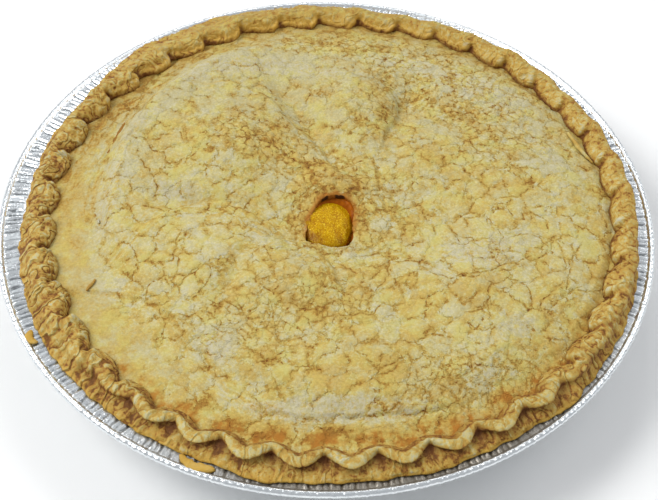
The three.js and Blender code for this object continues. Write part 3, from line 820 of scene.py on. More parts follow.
# Marks round the edge: how far a place lies inside the ridge, and on which side of the pie
edge_heading = heading_of(x, y, EDGE_CENTRE)
inside_ridge = ridge_inner(edge_heading) - np.hypot(x - EDGE_CENTRE[0], y - EDGE_CENTRE[1])
near_ridge = np.maximum(inside_ridge, 0)
near_side = sector(edge_heading, *NEAR_SIDE)
shaded_foot = np.clip(1.1 * sector(edge_heading, *SHADED_SIDE) + 0.5 * (1 - near_side), 0, 1)
left_flank = smooth(inside_ridge, 40, 16) * sector(edge_heading, *LEFT_FLANK)
fine_cracked = spots_at(x, y, FINE_SPOTS)
floured = spots_at(x, y, FLOUR_SPOTS)

# Marks round the vent: syrup has boiled over it, but not on the near side, and two dark hollows are left
# under its wall, which get painted shadow and lie at these headings and are this wide, in degrees
DARK_GAPS = [(102, 8), (72, 10)]
vent_heading = heading_of(x, y, VENT_CENTRE)
vent_gap = np.hypot(x - VENT_CENTRE[0], y - VENT_CENTRE[1]) - vent_reach(vent_heading)
boiled_over = np.clip(1.3 * smooth(np.sin(np.radians(vent_heading)), -0.9, -0.3) - 0.4, 0, 1)
hollow_shadow = sum(bell(vent_heading, at, width) for at, width in DARK_GAPS)

lid_marks = {
    "fold": fold_shade,
    "fold_side": fold_side,
    "crack_gap": crack_gap,
    "crack_side": crack_side,
    "flour": floured,
    "gold": spots_at(x, y, GOLD_SPOTS),
    "brown_and_shade": spots_at(x, y, BROWN_AND_SHADE_SPOTS),
    "fine": fine_cracked,
    "dusty": (0.55 * smooth(y, -5, 70) + 0.35 * floured) * (1 - 0.7 * np.clip(fine_cracked, 0, 1)),
    "calm": smooth(inside_ridge, 25, 13) * sector(edge_heading, *CALM_SIDE),
    "streak": 0.10 + 0.90 * left_flank,
    # Painted shade goes in the crease along the ridge, in a line at its foot and in a band beside the far rim
    "edge": np.exp(-near_ridge / 3.5),
    "foot": shaded_foot * bell(np.maximum(inside_ridge - 0.4, 0), 0, 1.1),
    "toast": near_side * bell(near_ridge, 0, 7.0),
    "far_rim_shade": sector(edge_heading, *FAR_RIM) * bell(near_ridge, 0, 9.0),
    "stain": np.exp(-np.maximum(vent_gap, 0) / 2.8) * boiled_over,
    "hollow_shadow": np.where(on_top, 0.0, hollow_shadow),
    "inside": np.where(on_top, 0.0, 1.0),
}
for name, values in lid_marks.items():
    mark(lid, name, values)

PLATE_SIZE = 0.0105
SMALL_PLATE_SIZE = 0.0048
LID_RELIEF = {
    "Plate Curl": 0.00038, "Small Plate Curl": 0.0002, "Unevenness": 0.0016,
    "Streak Relief": 0.0021, "Wrinkle Relief": 0.0012}
CHALKY_COLOUR = "#bbb082"
BUTTERY_COLOUR = "#c6ba68"
SYRUP_COLOUR = "#ad6c1e"
HOLLOW_SHADOW_COLOUR = "#2c1204"
TOASTED_COLOUR = "#b47424"
FLOUR_COLOUR = "#c6bfa8"
OLIVE_GOLD_COLOUR = "#ac8f45"

# How dough changes as it bakes, from floury white through cream, straw and tan to dark brown, and how much
# lighter the lamps make it
BAKING = [
    (0.00, "#cfc9ac"), (0.16, "#d0c698"), (0.34, "#cfbf7d"), (0.50, "#cbae5b"), (0.64, "#be9742"),
    (0.77, "#a7762b"), (0.89, "#8a581b"), (1.00, "#633b0e")]
LAMP_GAIN = 1.06

dough_colours = bpy.data.node_groups.new("colours of baked dough", "ShaderNodeTree")
for label in ("Baking", "Mottle"):
    dough_colours.interface.new_socket(label, in_out="INPUT", socket_type="NodeSocketFloat")
dough_colours.interface.new_socket("Color", in_out="OUTPUT", socket_type="NodeSocketColor")
asked = dough_colours.nodes.new("NodeGroupInput").outputs
ramp = put(dough_colours, "ShaderNodeValToRGB", {0: Amount(dough_colours, asked["Baking"])})
stops = ramp.color_ramp.elements
while len(stops) < len(BAKING):
    stops.new(0.5)
for stop, (share, code) in zip(stops, BAKING):
    stop.position = share
    stop.color = [c / LAMP_GAIN for c in colour(code)[:3]] + [1.0]
light = Amount(dough_colours, asked["Mottle"])
mottled = reckon_place("SCALE", Amount(dough_colours, ramp.outputs[0]), Scale=light)
put(dough_colours, "NodeGroupOutput", {"Color": mottled})


def dough_colour(baking_and_shade, mottle):
    """Colour of dough for how far it is baked, 0 to 1, and for how light it is."""
    inputs = {"Baking": baking_and_shade, "Mottle": mottle}
    return give(baking_and_shade.tree, "ShaderNodeGroup", inputs, "Color", node_tree=dough_colours)


def warped(place, size, reach, detail=4.0):
    """The place, pushed about by noise, so that what is drawn on it wanders."""
    push = reckon_place("SUBTRACT", grain(place, size, detail, 0.6, output=1), (0.5, 0.5, 0.5))
    return reckon_place("ADD", place, reckon_place("SCALE", push, Scale=reach))


def plates(place, size, seed):
    """Cracked plates of about that size: distance in metres to the nearest crack, and a tone for each."""
    flat = reckon_place("MULTIPLY", place, (1.0, 1.0, 0.6))
    moved = reckon_place("ADD", warped(flat, 0.5 * size, 0.75 * size, 3.0), (seed, 0.3 * seed, 0.0))
    inputs = {"Vector": moved, "Scale": 1 / size}
    gap = give(place.tree, "ShaderNodeTexVoronoi", inputs, feature="DISTANCE_TO_EDGE")
    tones = give(place.tree, "ShaderNodeTexVoronoi", inputs, "Color", feature="F1")
    return gap * size, parts_of(tones)[0]


def joined(tree, x, y, z):
    return give(tree, "ShaderNodeCombineXYZ", {0: x, 1: y, 2: z})


def ring_place(place, across, around):
    """Place reckoned round the pie: across the edge in lumps of one size, around it in lumps of another."""
    x, y, z = parts_of(place)
    centre = (EDGE_CENTRE[0] * MM, EDGE_CENTRE[1] * MM, 0.0)
    centred = reckon_place("SUBTRACT", joined(place.tree, x, y, 0.0), centre)
    radius = reckon_place("LENGTH", centred, output="Value")
    turned = reckon_place("SCALE", reckon_place("NORMALIZE", centred), Scale=RIDGE_RADIUS * MM / around)
    turn_x, turn_y, _ = parts_of(turned)
    return joined(place.tree, turn_x, turn_y, (radius + z) * (1 / across))


def streaks(place):
    """Fine folds that run round the pie."""
    return grain(ring_place(warped(place, 0.02, 0.012, 2.0), 0.0019, 0.017), 1.0, 3.0, 0.6)


def combed(place):
    """Fine grooves and stripes that run outwards from the middle of the pie."""
    return grain(ring_place(warped(place, 0.008, 0.004, 2.0), 0.016, 0.0021), 1.0, 2.0, 0.5)


def wrinkles(place):
    """Fine wrinkles that run beside the nearest fold."""
    side = kept(place, "fold_side")
    x, y, _ = parts_of(place)
    drawn = joined(place.tree, side * 0.62, x * 75.0, y * 75.0)
    return (grain(drawn, 1.0, 2.0, 0.6) - 0.5) * ease(reckon("ABSOLUTE", side), 1.0, 9.0, 1.0, 0.0)


works, given, spot = new_works("plates of the lid", LID_RELIEF)
small_plates = ease(plates(spot, SMALL_PLATE_SIZE, 0.7)[0], 0.0, 0.0011) * (kept(spot, "fine") + 0.3)
rise = ease(plates(spot, PLATE_SIZE, 0.0)[0], 0.0, 0.0018) * given["Plate Curl"]
rise += small_plates * given["Small Plate Curl"]
rise += (grain(spot, 0.009, 4.0, 0.6) - 0.5) * given["Unevenness"]
rise += (streaks(spot) - 0.5) * kept(spot, "streak") * given["Streak Relief"]
rise += wrinkles(spot) * given["Wrinkle Relief"]
rise *= 1.0 - kept(spot, "calm") * 0.75
rise *= 1.0 - kept(spot, "inside")
end_works(works, given, joined(works, 0.0, 0.0, rise))

baked_lid, shader, place = new_material("baked lid")
wide_noise = grain(place, 0.020, 3.0, 0.55)
mid_noise = grain(place, 0.0058, 4.0, 0.6)
fine_noise = grain(place, 0.0015, 4.0, 0.7)
dash_noise = grain(place, 0.0021, 3.0, 0.7, shift=(0.3, 0.0, 0.0))
fleck_noise = grain(place, 0.0011, 2.0, 0.6, shift=(0.0, 0.0, 0.3))
presence = grain(place, 0.011, 2.0, 0.5, shift=(0.0, 0.3, 0.0))
tint = grain(place, 0.011, 4.0, 0.7, shift=(0.1, 0.2, 0.0))
big_gap, big_tone = plates(place, PLATE_SIZE, 0.0)
small_gap, small_tone = plates(place, SMALL_PLATE_SIZE, 0.7)
fine = kept(place, "fine")
calm = kept(place, "calm")
dusty = kept(place, "dusty")
flour = kept(place, "flour")
stain = kept(place, "stain")
far_rim_shade = kept(place, "far_rim_shade")

# Lines of the cracks: broken into dashes, and thinner or gone where the dough stretched less. A drawn crack
# runs where the distance to it changes sign, between the points of the mesh
big_line = ease(big_gap, 0.00008, 0.00070, 1.0, 0.0) * ease(presence, 0.34, 0.56, 0.12, 1.0)
small_share = ease(fine + 0.75 - presence * 0.9, 0.2, 0.9, 0.08, 0.85)
small_line = ease(small_gap, 0.00008, 0.00055, 1.0, 0.0) * small_share
drawn_line = ease(reckon("ABSOLUTE", kept(place, "crack_side")), 0.45, 1.1, 1.0, 0.0)
line = reckon("MAXIMUM", reckon("MAXIMUM", big_line, small_line), drawn_line)
line *= ease(dash_noise, 0.40, 0.58, 0.05, 1.0)
line *= 1.0 - calm * 0.88
line *= 1.0 - dusty * 0.35

# Tan smudges along the cracks, pale flakes that stand up beside them, and dark crumbs where they meet
near_big = ease(big_gap, 0.0003, 0.0022, 1.0, 0.0) * ease(presence, 0.36, 0.52)
near_small = ease(small_gap, 0.0, 0.0010, 1.0, 0.0) * small_share
near_drawn = ease(kept(place, "crack_gap"), 0.0, 4.0, 1.0, 0.0)
near = reckon("MAXIMUM", reckon("MAXIMUM", near_big, near_small), near_drawn)
near *= 1.0 - calm
smudge = near * ease(mid_noise, 0.40, 0.56)
flecks = ease(fleck_noise, 0.54, 0.64) * (near + 0.25)
pale_rim = ease(big_gap, 0.0006, 0.0019, 1.0, 0.0) * ease(mid_noise, 0.6, 0.42)
crumbs = ease(dash_noise, 0.60, 0.67) * ease(line, 0.15, 0.7)

# How far each spot is baked, with painted shade added in the folds, along the ridge, beside the far rim and
# in some brown spots
tone = 0.34 + (big_tone - 0.5) * 0.20 + (small_tone - 0.5) * 0.14 - pale_rim * 0.12
for noise, contrast in [(wide_noise, 0.50), (mid_noise, 0.70), (fine_noise, 0.72)]:
    tone += (noise - 0.5) * contrast
# Gold spots are the dough's own colour and brown spots partly so, partly painted shade; edge, foot and fold
# add painted shade in the crease along the ridge, at its foot and in the folds
for name, browning_and_shade in [("gold", 0.15), ("brown_and_shade", 0.15), ("edge", 0.16), ("foot", 0.30), ("fold", 0.13)]:
    tone += kept(place, name) * browning_and_shade
# Painted shade beside the far rim, darker and mottled
tone += far_rim_shade * (ease(mid_noise, 0.44, 0.60, 0.0, 0.26) + 0.24)
tone += stain * 0.30 + calm * 0.11
tone -= ease(mid_noise * 0.8 + flour, 0.5, 1.2) * 0.20
tone += (fine_noise - 0.46) * flour * 1.3
tone += (streaks(place) - 0.5) * kept(place, "streak") * 2.1
tone += wrinkles(place) * 1.3
tone += ease(dash_noise + fine * 0.05, 0.56, 0.66) * fine * 0.22
toast = kept(place, "toast") * (ease(combed(place), 0.3, 0.7) * 0.7 + ease(mid_noise, 0.3, 0.7))
tone += toast * 0.30 + smudge * (fine * 0.12 + 0.32) - flecks * 0.20

# No patch bakes darker than tan, and the cracks pull what they cross towards brown
tone = reckon("MAXIMUM", reckon("MINIMUM", tone, ease(tone, 0.5, 1.3, 0.5, 0.78)), 0.02)
line_tone = (wide_noise - 0.5) * 0.5 + 0.72
pull = line * reckon("MAXIMUM", line_tone - tone, 0.0) * (1.0 - dusty * 0.3)
tone += pull * (0.95 - fine * 0.3) + crumbs * 0.22
tone = reckon("MAXIMUM", tone, kept(place, "inside") * 0.80)

# Light and dark flecks of flour, hair cracks, painted shade at the ridge's foot, beside the far rim and in
# the depth of the cracks
mottle = (ease(fleck_noise, 0.3, 0.7, 0.855, 1.095) - 1.0) * (dusty * 1.9 + 1.0) + 1.0
hairs = grain(warped(place, 0.006, 0.007, 2.0), 0.0040, 3.0, 0.6)
hairs = ease(reckon("ABSOLUTE", hairs - 0.5), 0.0, 0.035, 1.0, 0.0) * ease(presence, 0.60, 0.42)
foot = kept(place, "foot") * ease(presence, 0.35, 0.55, 0.55, 1.0)
line_depth = line * (dusty * 0.18 + fine * 0.10 + 0.06)
for dark, darkening in [
        (dusty, 0.065), (hairs, 0.14), (foot, 0.55), (calm, 0.04), (far_rim_shade, 0.09), (line_depth, 1.0)]:
    mottle *= 1.0 - dark * darkening
shade = dough_colour(tone, mottle)

# Some patches are greyish with flour, others butter yellow; painted shade beside the far rim is olive gold,
# the near moat is toasted, the vent stained, and the hollows under its wall get painted shadow
tintable = ease(tone, 0.70, 0.40) * ease(stain, 0.0, 0.3, 1.0, 0.0)
chalky = ease(calm * 0.10 + dusty * 0.22 + tint, 0.44, 0.74, 0.0, 0.68)
floury = ease(dash_noise, 0.49, 0.55) * ease(flour, 0.45, 1.0, 0.0, 0.5)
for share, code in [
        (chalky * tintable, CHALKY_COLOUR),
        (ease(tint, 0.56, 0.30, 0.0, 0.75) * tintable, BUTTERY_COLOUR),
        (far_rim_shade * 0.45, OLIVE_GOLD_COLOUR),
        (ease(toast, 0.35, 1.4, 0.0, 0.65), TOASTED_COLOUR),
        (floury * tintable, FLOUR_COLOUR),
        (ease(mid_noise * 0.9 + stain, 0.75, 1.25, 0.0, 0.8), SYRUP_COLOUR),
        (ease(kept(place, "hollow_shadow"), 0.25, 0.6, 0.0, 0.9), HOLLOW_SHADOW_COLOUR)]:
    shade = blend(share, shade, code)
fill_inputs(shader, {
    "Base Color": shade,
    "Roughness": 0.78,
    "Specular IOR Level": 0.3,
    "Normal": bump(fine_noise * 0.8 + mid_noise * 0.7 + flecks * 0.5 - line, 0.7, 0.0006)})
run_works(lid, works, LID_RELIEF, baked_lid)
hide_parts("crust")
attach(lid, "root")

# The pinched edge.
# Lid and case are pressed together on the tin's flange and pinched between thumb and finger into forty
# flutes. The ridge bakes to flaky, swirled, golden-brown dough, and thin dough spreads over the foil.
RIDGE_HEIGHT = 8.8
RIDGE_OUTER_RADIUS = 140.2
RIDGE_OUTER_SWING = 0.5
NOTCH_DEPTH = 0.5
KNUCKLE_PLACE = 0.64
KNUCKLE_SIZE = 2.2
FLUTE_LENGTH = 21.5
STRAND_TWIST = 0.35
EDGE_STEPS_PER_FLUTE = 44

# The near side, where the flutes were left open: a thin crest that zigzags over a hollow outer face
OPEN_ANGLE = -88
OPEN_SPREAD = 44
OPEN_CREST_DROP = 1.3
OPEN_INNER_RADIUS = 134.2
OPEN_OUTER_RADIUS = 138.9
OPEN_OUTER_SWING = 3.6
OPEN_FOOT_RADIUS = 143.2
OPEN_HOLLOW_RADIUS = 136.4

# Parts of the edge: the middle of each and its spread, in degrees. The far flutes are folded once and smooth
RIGHT_SIDE = (15, 50)
LESS_FLAKY_SIDE = (12, 42)
LEFT_SIDE = (182, 42)
FAR_SIDE = (100, 60)
SMOOTH_FLUTES = (98, 52)

# Reach of the thin dough on the foil from the tin's centre, every 15 degrees from -180, and its tongues
SKIRT_REACH = [
    140.4, 142.5, 144.2, 144.6, 144.8, 146.0, 146.6, 146.6, 146.8, 147.6, 147.0, 145.2,
    144.4, 145.4, 145.2, 144.6, 144.2, 144.8, 147.0, 147.6, 148.2, 147.4, 142.3, 142.0]
TONGUES = [
    (-101, 2.2, 4.0), (-46, 1.6, 3.2), (-73, 1.2, 2.4), (131, 1.4, 4.0), (115, 1.8, 2.5), (96, 1.6, 3.0)]


def side_bell(angle, middle, spread):
    return bell(turn_between(angle, middle), 0, spread)


def flute_bell(angle, at, width):
    """1 at one point of every flute (0 where it tips inwards, 0.5 at the crease), over a width in mm."""
    off = (along_flute(angle) - at + 0.5) % 1 - 0.5
    return bell(off * FLUTE_LENGTH, 0, width)


def knuckle_at(angle):
    """1 on the fold that stands up beside every crease, steep towards the crease and easing off behind it."""
    off = (along_flute(angle) - 0.5) % 1
    rise = smooth(off, 0.0, KNUCKLE_PLACE - 0.5)
    return rise * np.clip(1 - (off - KNUCKLE_PLACE + 0.5) / 0.62, 0, 1) ** 1.3


def far_fold(angle):
    """Reach inwards of a far flute: it stands out beside the crease and draws back slowly to the next."""
    off = (along_flute(angle) - 0.5) % 1
    return smooth(off, 0.0, 0.24) * (1 - smooth(off, 0.26, 1.0))


def luck(angle, which):
    """A different number from 0 to 1 for every flute, changing smoothly from one to the next."""
    numbers = np.random.default_rng(which).uniform(0, 1, FLUTES)
    numbers = np.append(numbers, numbers[0])
    return np.interp(((angle - TIP_ANGLE) * FLUTES / 360 - 0.5) % FLUTES, np.arange(FLUTES + 1), numbers)


def skirt_edge(angle):
    """Reach of the thin dough on the flange, from the tin's centre."""
    reaches = np.append(SKIRT_REACH, SKIRT_REACH[0])
    reach = np.interp(turn_between(angle, 0), np.linspace(-180, 180, len(reaches)), reaches)
    for at, tongue, width in TONGUES:
        reach = reach + tongue * side_bell(angle, at, width)
    return reach + 0.4 * hand_wander(2 * angle + 40)


def foot_radius(angle, full):
    """Where the ridge's inner foot meets the lid: folded in at each crease, in long folds on the far side."""
    right_side = side_bell(angle, *RIGHT_SIDE)
    far_side = side_bell(angle, *FAR_SIDE)
    knuckle = full * (1 - 0.6 * far_side) * knuckle_at(angle) * mix(0.3, 1.3, luck(angle, 1))
    foot = ridge_inner(angle) + NOTCH_DEPTH * full * flute_bell(angle, 0.46, 2.6)
    foot = foot - KNUCKLE_SIZE * knuckle * (1 - 0.85 * right_side)
    foot = mix(foot, foot.min(), 0.42 * right_side * full)
    far_reach = mix(2.8, 4.9, luck(angle, 5)) * far_fold(angle)
    far_foot = RIDGE_INNER_RADIUS + 1.4 + 0.7 * hand_wander(angle) - far_reach
    return mix(foot, far_foot, 0.85 * far_side)


def crest_height(angle, full):
    """Height of the ridge's crest, which differs from flute to flute."""
    right_side = side_bell(angle, *RIGHT_SIDE)
    far_side = side_bell(angle, *FAR_SIDE)
    crest = FLANGE_Z + RIDGE_HEIGHT - OPEN_CREST_DROP * (1 - full)
    crest = crest + 0.3 * outer_swing(angle) + 0.6 * hand_wander(angle)
    knuckle = full * flute_bell(angle, KNUCKLE_PLACE + 0.01, 2.2)
    uneven = 0.9 * knuckle - 0.5 + 1.4 * (luck(angle, 2) - 0.5)
    return crest + full * (1 - 0.6 * far_side) * (1 - 0.4 * right_side) * uneven


def edge_controls(angle, full):
    """Points that the section runs through, for every angle: radius and height of each."""
    a = np.radians(angle)
    skirt = skirt_edge(angle) - EDGE_CENTRE[0] * np.cos(a) - EDGE_CENTRE[1] * np.sin(a)
    skirt = skirt + 0.25 * np.sin(61 * a) + 0.2 * np.sin(97 * a + 1)
    swing = outer_swing(angle)
    tip = flute_bell(angle, 0, 4.0)
    far_side = side_bell(angle, *FAR_SIDE)
    foot_inside = foot_radius(angle, full)
    inner = mix(OPEN_INNER_RADIUS + RIDGE_INNER_SWING * inner_swing(angle), foot_inside, full)
    folded_outer = RIDGE_OUTER_RADIUS + RIDGE_OUTER_SWING * swing
    outer = mix(OPEN_OUTER_RADIUS + OPEN_OUTER_SWING * swing, folded_outer, full) + 0.5 * hand_wander(angle)
    crest = crest_height(angle, full)
    floor = FLANGE_Z + GAP
    level = 0 * a
    foot = np.minimum(mix(OPEN_FOOT_RADIUS + swing, skirt - 1.4, full), skirt - 1.2)
    middle = mix(mix(outer - 2.0, OPEN_HOLLOW_RADIUS, tip), mix(outer, foot, 0.55), full)
    middle_z = mix(floor + mix(4.0, 3.4, tip), crest - 4.2, full)
    shoulder = inner + mix(0.5, mix(1.6, 2.8, luck(angle, 3)) - 0.9 * far_side, full)
    return np.array([
        (foot_inside + 3.5, floor + 0.3 + level),
        (skirt - 4.0, floor + level),
        (skirt - 0.7, floor + level),
        (skirt, floor + 0.7 + level),
        (skirt - 0.5, floor + 1.4 + level),
        (foot, floor + 2.4 + 0.4 * tip * (1 - full)),
        (middle, middle_z),
        (outer, crest - mix(1.5 + 0.8 * tip, 1.6, full)),
        (mix(inner, outer, mix(0.7, 0.78, full)), crest - 0.4),
        (mix(inner, outer, mix(0.36, 0.52 - 0.16 * far_side, full)), crest - 0.1),
        (shoulder, crest - 1.3 - 1.5 * full * far_side),
        (mix(foot_inside, inner, 0.5) + 0.1 * full, mix(FLANGE_Z + MOAT_HEIGHT, crest, 0.36)),
        (foot_inside + 0.6 - 1.5 * full, FLANGE_Z + MOAT_HEIGHT - 0.9 + 0.4 * full),
        (foot_inside + 2.5, FLANGE_Z + 1.2 + level),
    ])


def curve_through(controls, steps):
    """Points on a smooth closed curve through the control points, steps of them between each two."""
    count = len(controls)
    rows = []
    for i in range(count):
        p0, p1, p2, p3 = (controls[(i + k) % count] for k in (-1, 0, 1, 2))
        for t in np.arange(steps[i]) / steps[i]:
            rows.append(0.5 * (2 * p1 + (p2 - p0) * t + (2 * p0 - 5 * p1 + 4 * p2 - p3) * t ** 2
                               + (3 * p1 - p0 - 3 * p2 + p3) * t ** 3))
    return np.array(rows)


EDGE_STEPS = [2, 2, 2, 2, 4, 5, 6, 5, 5, 4, 5, 3, 2, 1]
edge_angle = TIP_ANGLE + np.arange(FLUTES * EDGE_STEPS_PER_FLUTE) * 360 / FLUTES / EDGE_STEPS_PER_FLUTE
full = 1 - sector(edge_angle, OPEN_ANGLE, OPEN_SPREAD)
rows = curve_through(edge_controls(edge_angle, full), EDGE_STEPS)
edge_x = EDGE_CENTRE[0] + rows[:, 0] * np.cos(np.radians(edge_angle))
edge_y = EDGE_CENTRE[1] + rows[:, 0] * np.sin(np.radians(edge_angle))
edge = skin("edge", list(np.stack([edge_x, edge_y, rows[:, 1]], 2)), closed=True)

# Where every point lies: its angle, and how far round the section, counted in the points of edge_controls.
# 0 to 2 are the underside, 3 the skirt's rim, 5 the outer foot, 6 the outer face, 7 to 10 the crest, 11 the
# inner face, 12 the inner foot and 13 below the lid
row_starts = np.cumsum([0] + EDGE_STEPS[:-1])
across = np.interp(np.arange(len(rows)), row_starts, np.arange(len(EDGE_STEPS)))[:, None]
angle, full = edge_angle[None, :], full[None, :]
open_part = 1 - full
right_side = side_bell(angle, *RIGHT_SIDE)
far_part = side_bell(angle, *SMOOTH_FLUTES)
left_part = side_bell(angle, *LEFT_SIDE) * full
outer_half = full * between(across, 4.8, 5.6, 8.6, 9.4)
inner_face = full * between(across, 9.0, 9.8, 11.4, 12.2)
ribbon = open_part * between(across, 7.0, 7.5, 9.3, 9.7)
fold_top = full * flute_bell(angle, KNUCKLE_PLACE + 0.02, 2.0)
behind_fold = flute_bell(angle, 0.34, 5.0)

# Strands of dough, twisted over the ridge by the pinching fingers, and the far side's single folds
share = np.interp(across, [5, 6, 7, 8, 9, 10, 11], [1.1, 1.0, 0.92, 0.7, 0.36, 0.08, 0.0])
wobble = 1.2 * np.sin(np.radians(angle * 11 + 50)) + 0.8 * np.sin(np.radians(angle * 23))
wobble = wobble + 0.5 * np.sin(share * 9 + angle)
strand = ((along_flute(angle) - 0.02 - STRAND_TWIST * share) % 1 - 0.5) * FLUTE_LENGTH + 0.6 * wobble * share
second = ((strand / FLUTE_LENGTH + 0.28 + 0.5) % 1 - 0.5) * FLUTE_LENGTH
stranded = full * between(across, 5.6, 6.4, 11.0, 11.6) * np.clip(1.1 - share, 0, 1)
stranded = stranded * (1 - far_part * (1 - 0.5 * np.interp(across, [9.2, 10.2], [0, 1])))
off_crease = (along_flute(angle) - 0.5 + 0.1) % 1 - 0.1
climb = np.interp(across, [9.2, 11.6], [0.0, 0.21])
far_ridge = far_part * full * bell((off_crease - climb) * FLUTE_LENGTH, 0, 1.5)
far_ridge = far_ridge * between(across, 8.2, 9.2, 11.4, 12)
far_valley = far_part * full * bell((off_crease - climb - 0.15) * FLUTE_LENGTH, 0, 1.3)
far_valley = far_valley * between(across, 8.6, 9.6, 11.4, 12)
groove = stranded * (0.7 * bell(strand, 2.4, 1.5) - 0.9 * bell(strand, 0, 0.9) - 0.45 * bell(second, 0, 0.7))
groove = groove + 0.55 * far_ridge - 0.25 * far_valley

# Dark places, painted as shadow: pits behind the open crest, the line under it, notches between the flutes,
# and the line along the inner foot
pit = open_part * flute_bell(angle, 0, 2.4) * bell(across, 6.3, 1.0)
under_crest = open_part * bell(across, 6.6, 0.45)
notch = full * flute_bell(angle, 0.49, 1.0 + 0.4 * far_part) * bell(across, 10.9, 0.8)
notch = notch * (1 - 0.6 * right_side) * (1 - 0.1 * far_part) * mix(0.4, 1.1, luck(angle, 4))
above_lid = rows[:, 1] - lid_height(edge_x, edge_y)
foot_line = full * np.interp(above_lid, [0.7, 1.6], [1, 0]) * between(across, 9.6, 10.2, 13, 13.1)
foot_line = foot_line * np.clip(
    0.35 + 0.45 * flute_bell(angle, 0.30, 6.0) + 0.6 * right_side + 0.4 * far_part, 0, 1)

# How far every place is baked, with painted shade and highlight in its creases and on its folds: first the
# folded flutes, then the open ones, then the dark places, which are painted shadow
# The far flutes: lighter along each fold's ridge, painted highlight, and browner in the valley beside it,
# painted shade
baking_and_shade = 0.55 - 0.08 * far_ridge + 0.10 * far_valley
baking_and_shade += (0.06 + 0.02 * np.clip(np.sin(np.radians(angle + 10)), 0, 1)) * inner_face
baking_and_shade += (0.056 + 0.042 * np.clip(np.sin(np.radians(angle + 10)), 0, 1)) * behind_fold * inner_face
# Lighter on the top of each knuckle: painted highlight
baking_and_shade -= 0.10 * fold_top * inner_face
# On the far side the line along the inner foot is browner, painted shade, and the rest a little paler
baking_and_shade += far_part * (0.20 * bell(across, 11.4, 0.35) - 0.10 * inner_face - 0.05 - 0.03 * outer_half)
baking_and_shade -= 0.16 * full * bell(across, 9.9, 0.5) * np.clip(np.cos(np.radians(angle - 40)), 0, 1)
baking_and_shade += 0.10 * right_side * full * between(across, 4, 5, 7, 8)
baking_and_shade += 0.15 * full * between(across, 3.6, 4.3, 6.0, 7.0)
# Browner in the grooves between strands, painted shade, and lighter on their ridges, painted highlight
baking_and_shade += stranded * (0.40 * bell(strand, 0, 0.9) - 0.22 * bell(strand, 2.4, 1.3))
baking_and_shade += stranded * 0.28 * bell(second, 0, 0.6) * (1 - far_part)
hollow_tip = 0.7 * flute_bell(angle, 0.0, 2.6) * bell(across, 5.4, 0.7)
baking_and_shade += 0.26 * open_part * between(across, 4.6, 5.4, 6.6, 7.1) * (1 - hollow_tip) - 0.15 * ribbon
# On the near side: a brown line at the crest's inner foot, and a browner inner slope and foot, painted shade
baking_and_shade += open_part * (0.40 * bell(across, 9.75, 0.25) + 0.32 * between(across, 9.7, 10.2, 12, 12.5))
baking_and_shade += 0.10 * open_part * bell(across, 12, 0.6)
# The dark places are painted browner too: painted shadow
baking_and_shade += 0.60 * pit + 0.45 * notch + 0.45 * under_crest + 0.25 * foot_line
shadow = 0.95 * pit + 0.45 * under_crest + (0.6 + 0.5 * far_part) * notch + 0.75 * foot_line
shadow = shadow + open_part * (0.22 * between(across, 8.4, 9.6, 12, 12.5) + 0.15 * bell(across, 5.9, 0.6))

edge_marks = {
    "groove": groove * MM,
    "baking_and_shade": baking_and_shade,
    "shadow": np.clip(shadow, 0, 1),
    "golden": np.clip(0.8 * bell(across, 3.5, 1.1) + 0.65 * far_part * inner_face + 0.4 * far_ridge, 0, 1),
    "olive": 0.9 * far_part * outer_half,
    "flaky": np.clip(1 - 0.6 * far_part - 0.5 * open_part - 0.6 * side_bell(angle, *LESS_FLAKY_SIDE), 0, 1),
    "comb": mix(0.45 * (across < 8), 1.0, open_part) * np.interp(
        across, [3.8, 4.4, 6.6, 7.4, 9.8, 10.3, 12, 12.5], [0, 1, 1, 0, 0, 0.7, 0.7, 0]),
    "rumpled": 0.25 + 0.75 * far_part * full,
    "blotchy": (0.60 + 0.50 * left_part + 0.30 * open_part * (across < 7) + 0.05 * far_part
                + 0.35 * right_side * full),
    "bare": 1.0 * (across > 2.5) * (across < 12.2),
}
for name, values in edge_marks.items():
    mark(edge, name, np.broadcast_to(values, edge_x.shape).ravel())

FLAKE_LAYERS = 6.0
EDGE_RELIEF = {
    "Flake Relief": 0.00045, "Lump Relief": 0.0010, "Groove Depth": 1.0, "Comb Relief": 0.0012,
    "Rumple Relief": 0.0013}
GOLDEN_TINT = "#cd9d34"
SHADED_COLOUR = "#6a3a0c"
OLIVE_TINT = "#b5a14c"
OLIVE_BROWN = "#97722a"


def lumps(place):
    """The broad unevenness of folded dough."""
    return grain(place, 0.0062, 2.0, 0.5)


def rumples(place):
    """Small lumps and dents of dough that was pressed by hand."""
    return grain(warped(place, 0.006, 0.004, 2.0), 0.0036, 3.0, 0.6)


def flakes(place):
    """Height, 0 to 1, of the layers of folded dough: a slow rise and a steep fall at the edge of each."""
    drift = grain(ring_place(warped(place, 0.012, 0.010, 2.0), 0.010, 0.0075), 1.0, 1.5, 0.5)
    layer = reckon("FRACT", drift * FLAKE_LAYERS)
    return reckon("MINIMUM", ease(layer, 0.0, 0.75), ease(layer, 0.75, 1.0, 1.0, 0.0))


works, given, spot = new_works("flaky dough", EDGE_RELIEF)
rise = (flakes(spot) - 0.5) * given["Flake Relief"] * kept(spot, "flaky")
rise += (lumps(spot) - 0.5) * given["Lump Relief"]
rise += (combed(spot) - 0.5) * kept(spot, "comb") * given["Comb Relief"]
rise += kept(spot, "groove") * given["Groove Depth"]
rise += (rumples(spot) - 0.5) * kept(spot, "rumpled") * given["Rumple Relief"]
rise *= kept(spot, "bare")
end_works(works, given, reckon_place("SCALE", give(works, "GeometryNodeInputNormal"), Scale=rise))

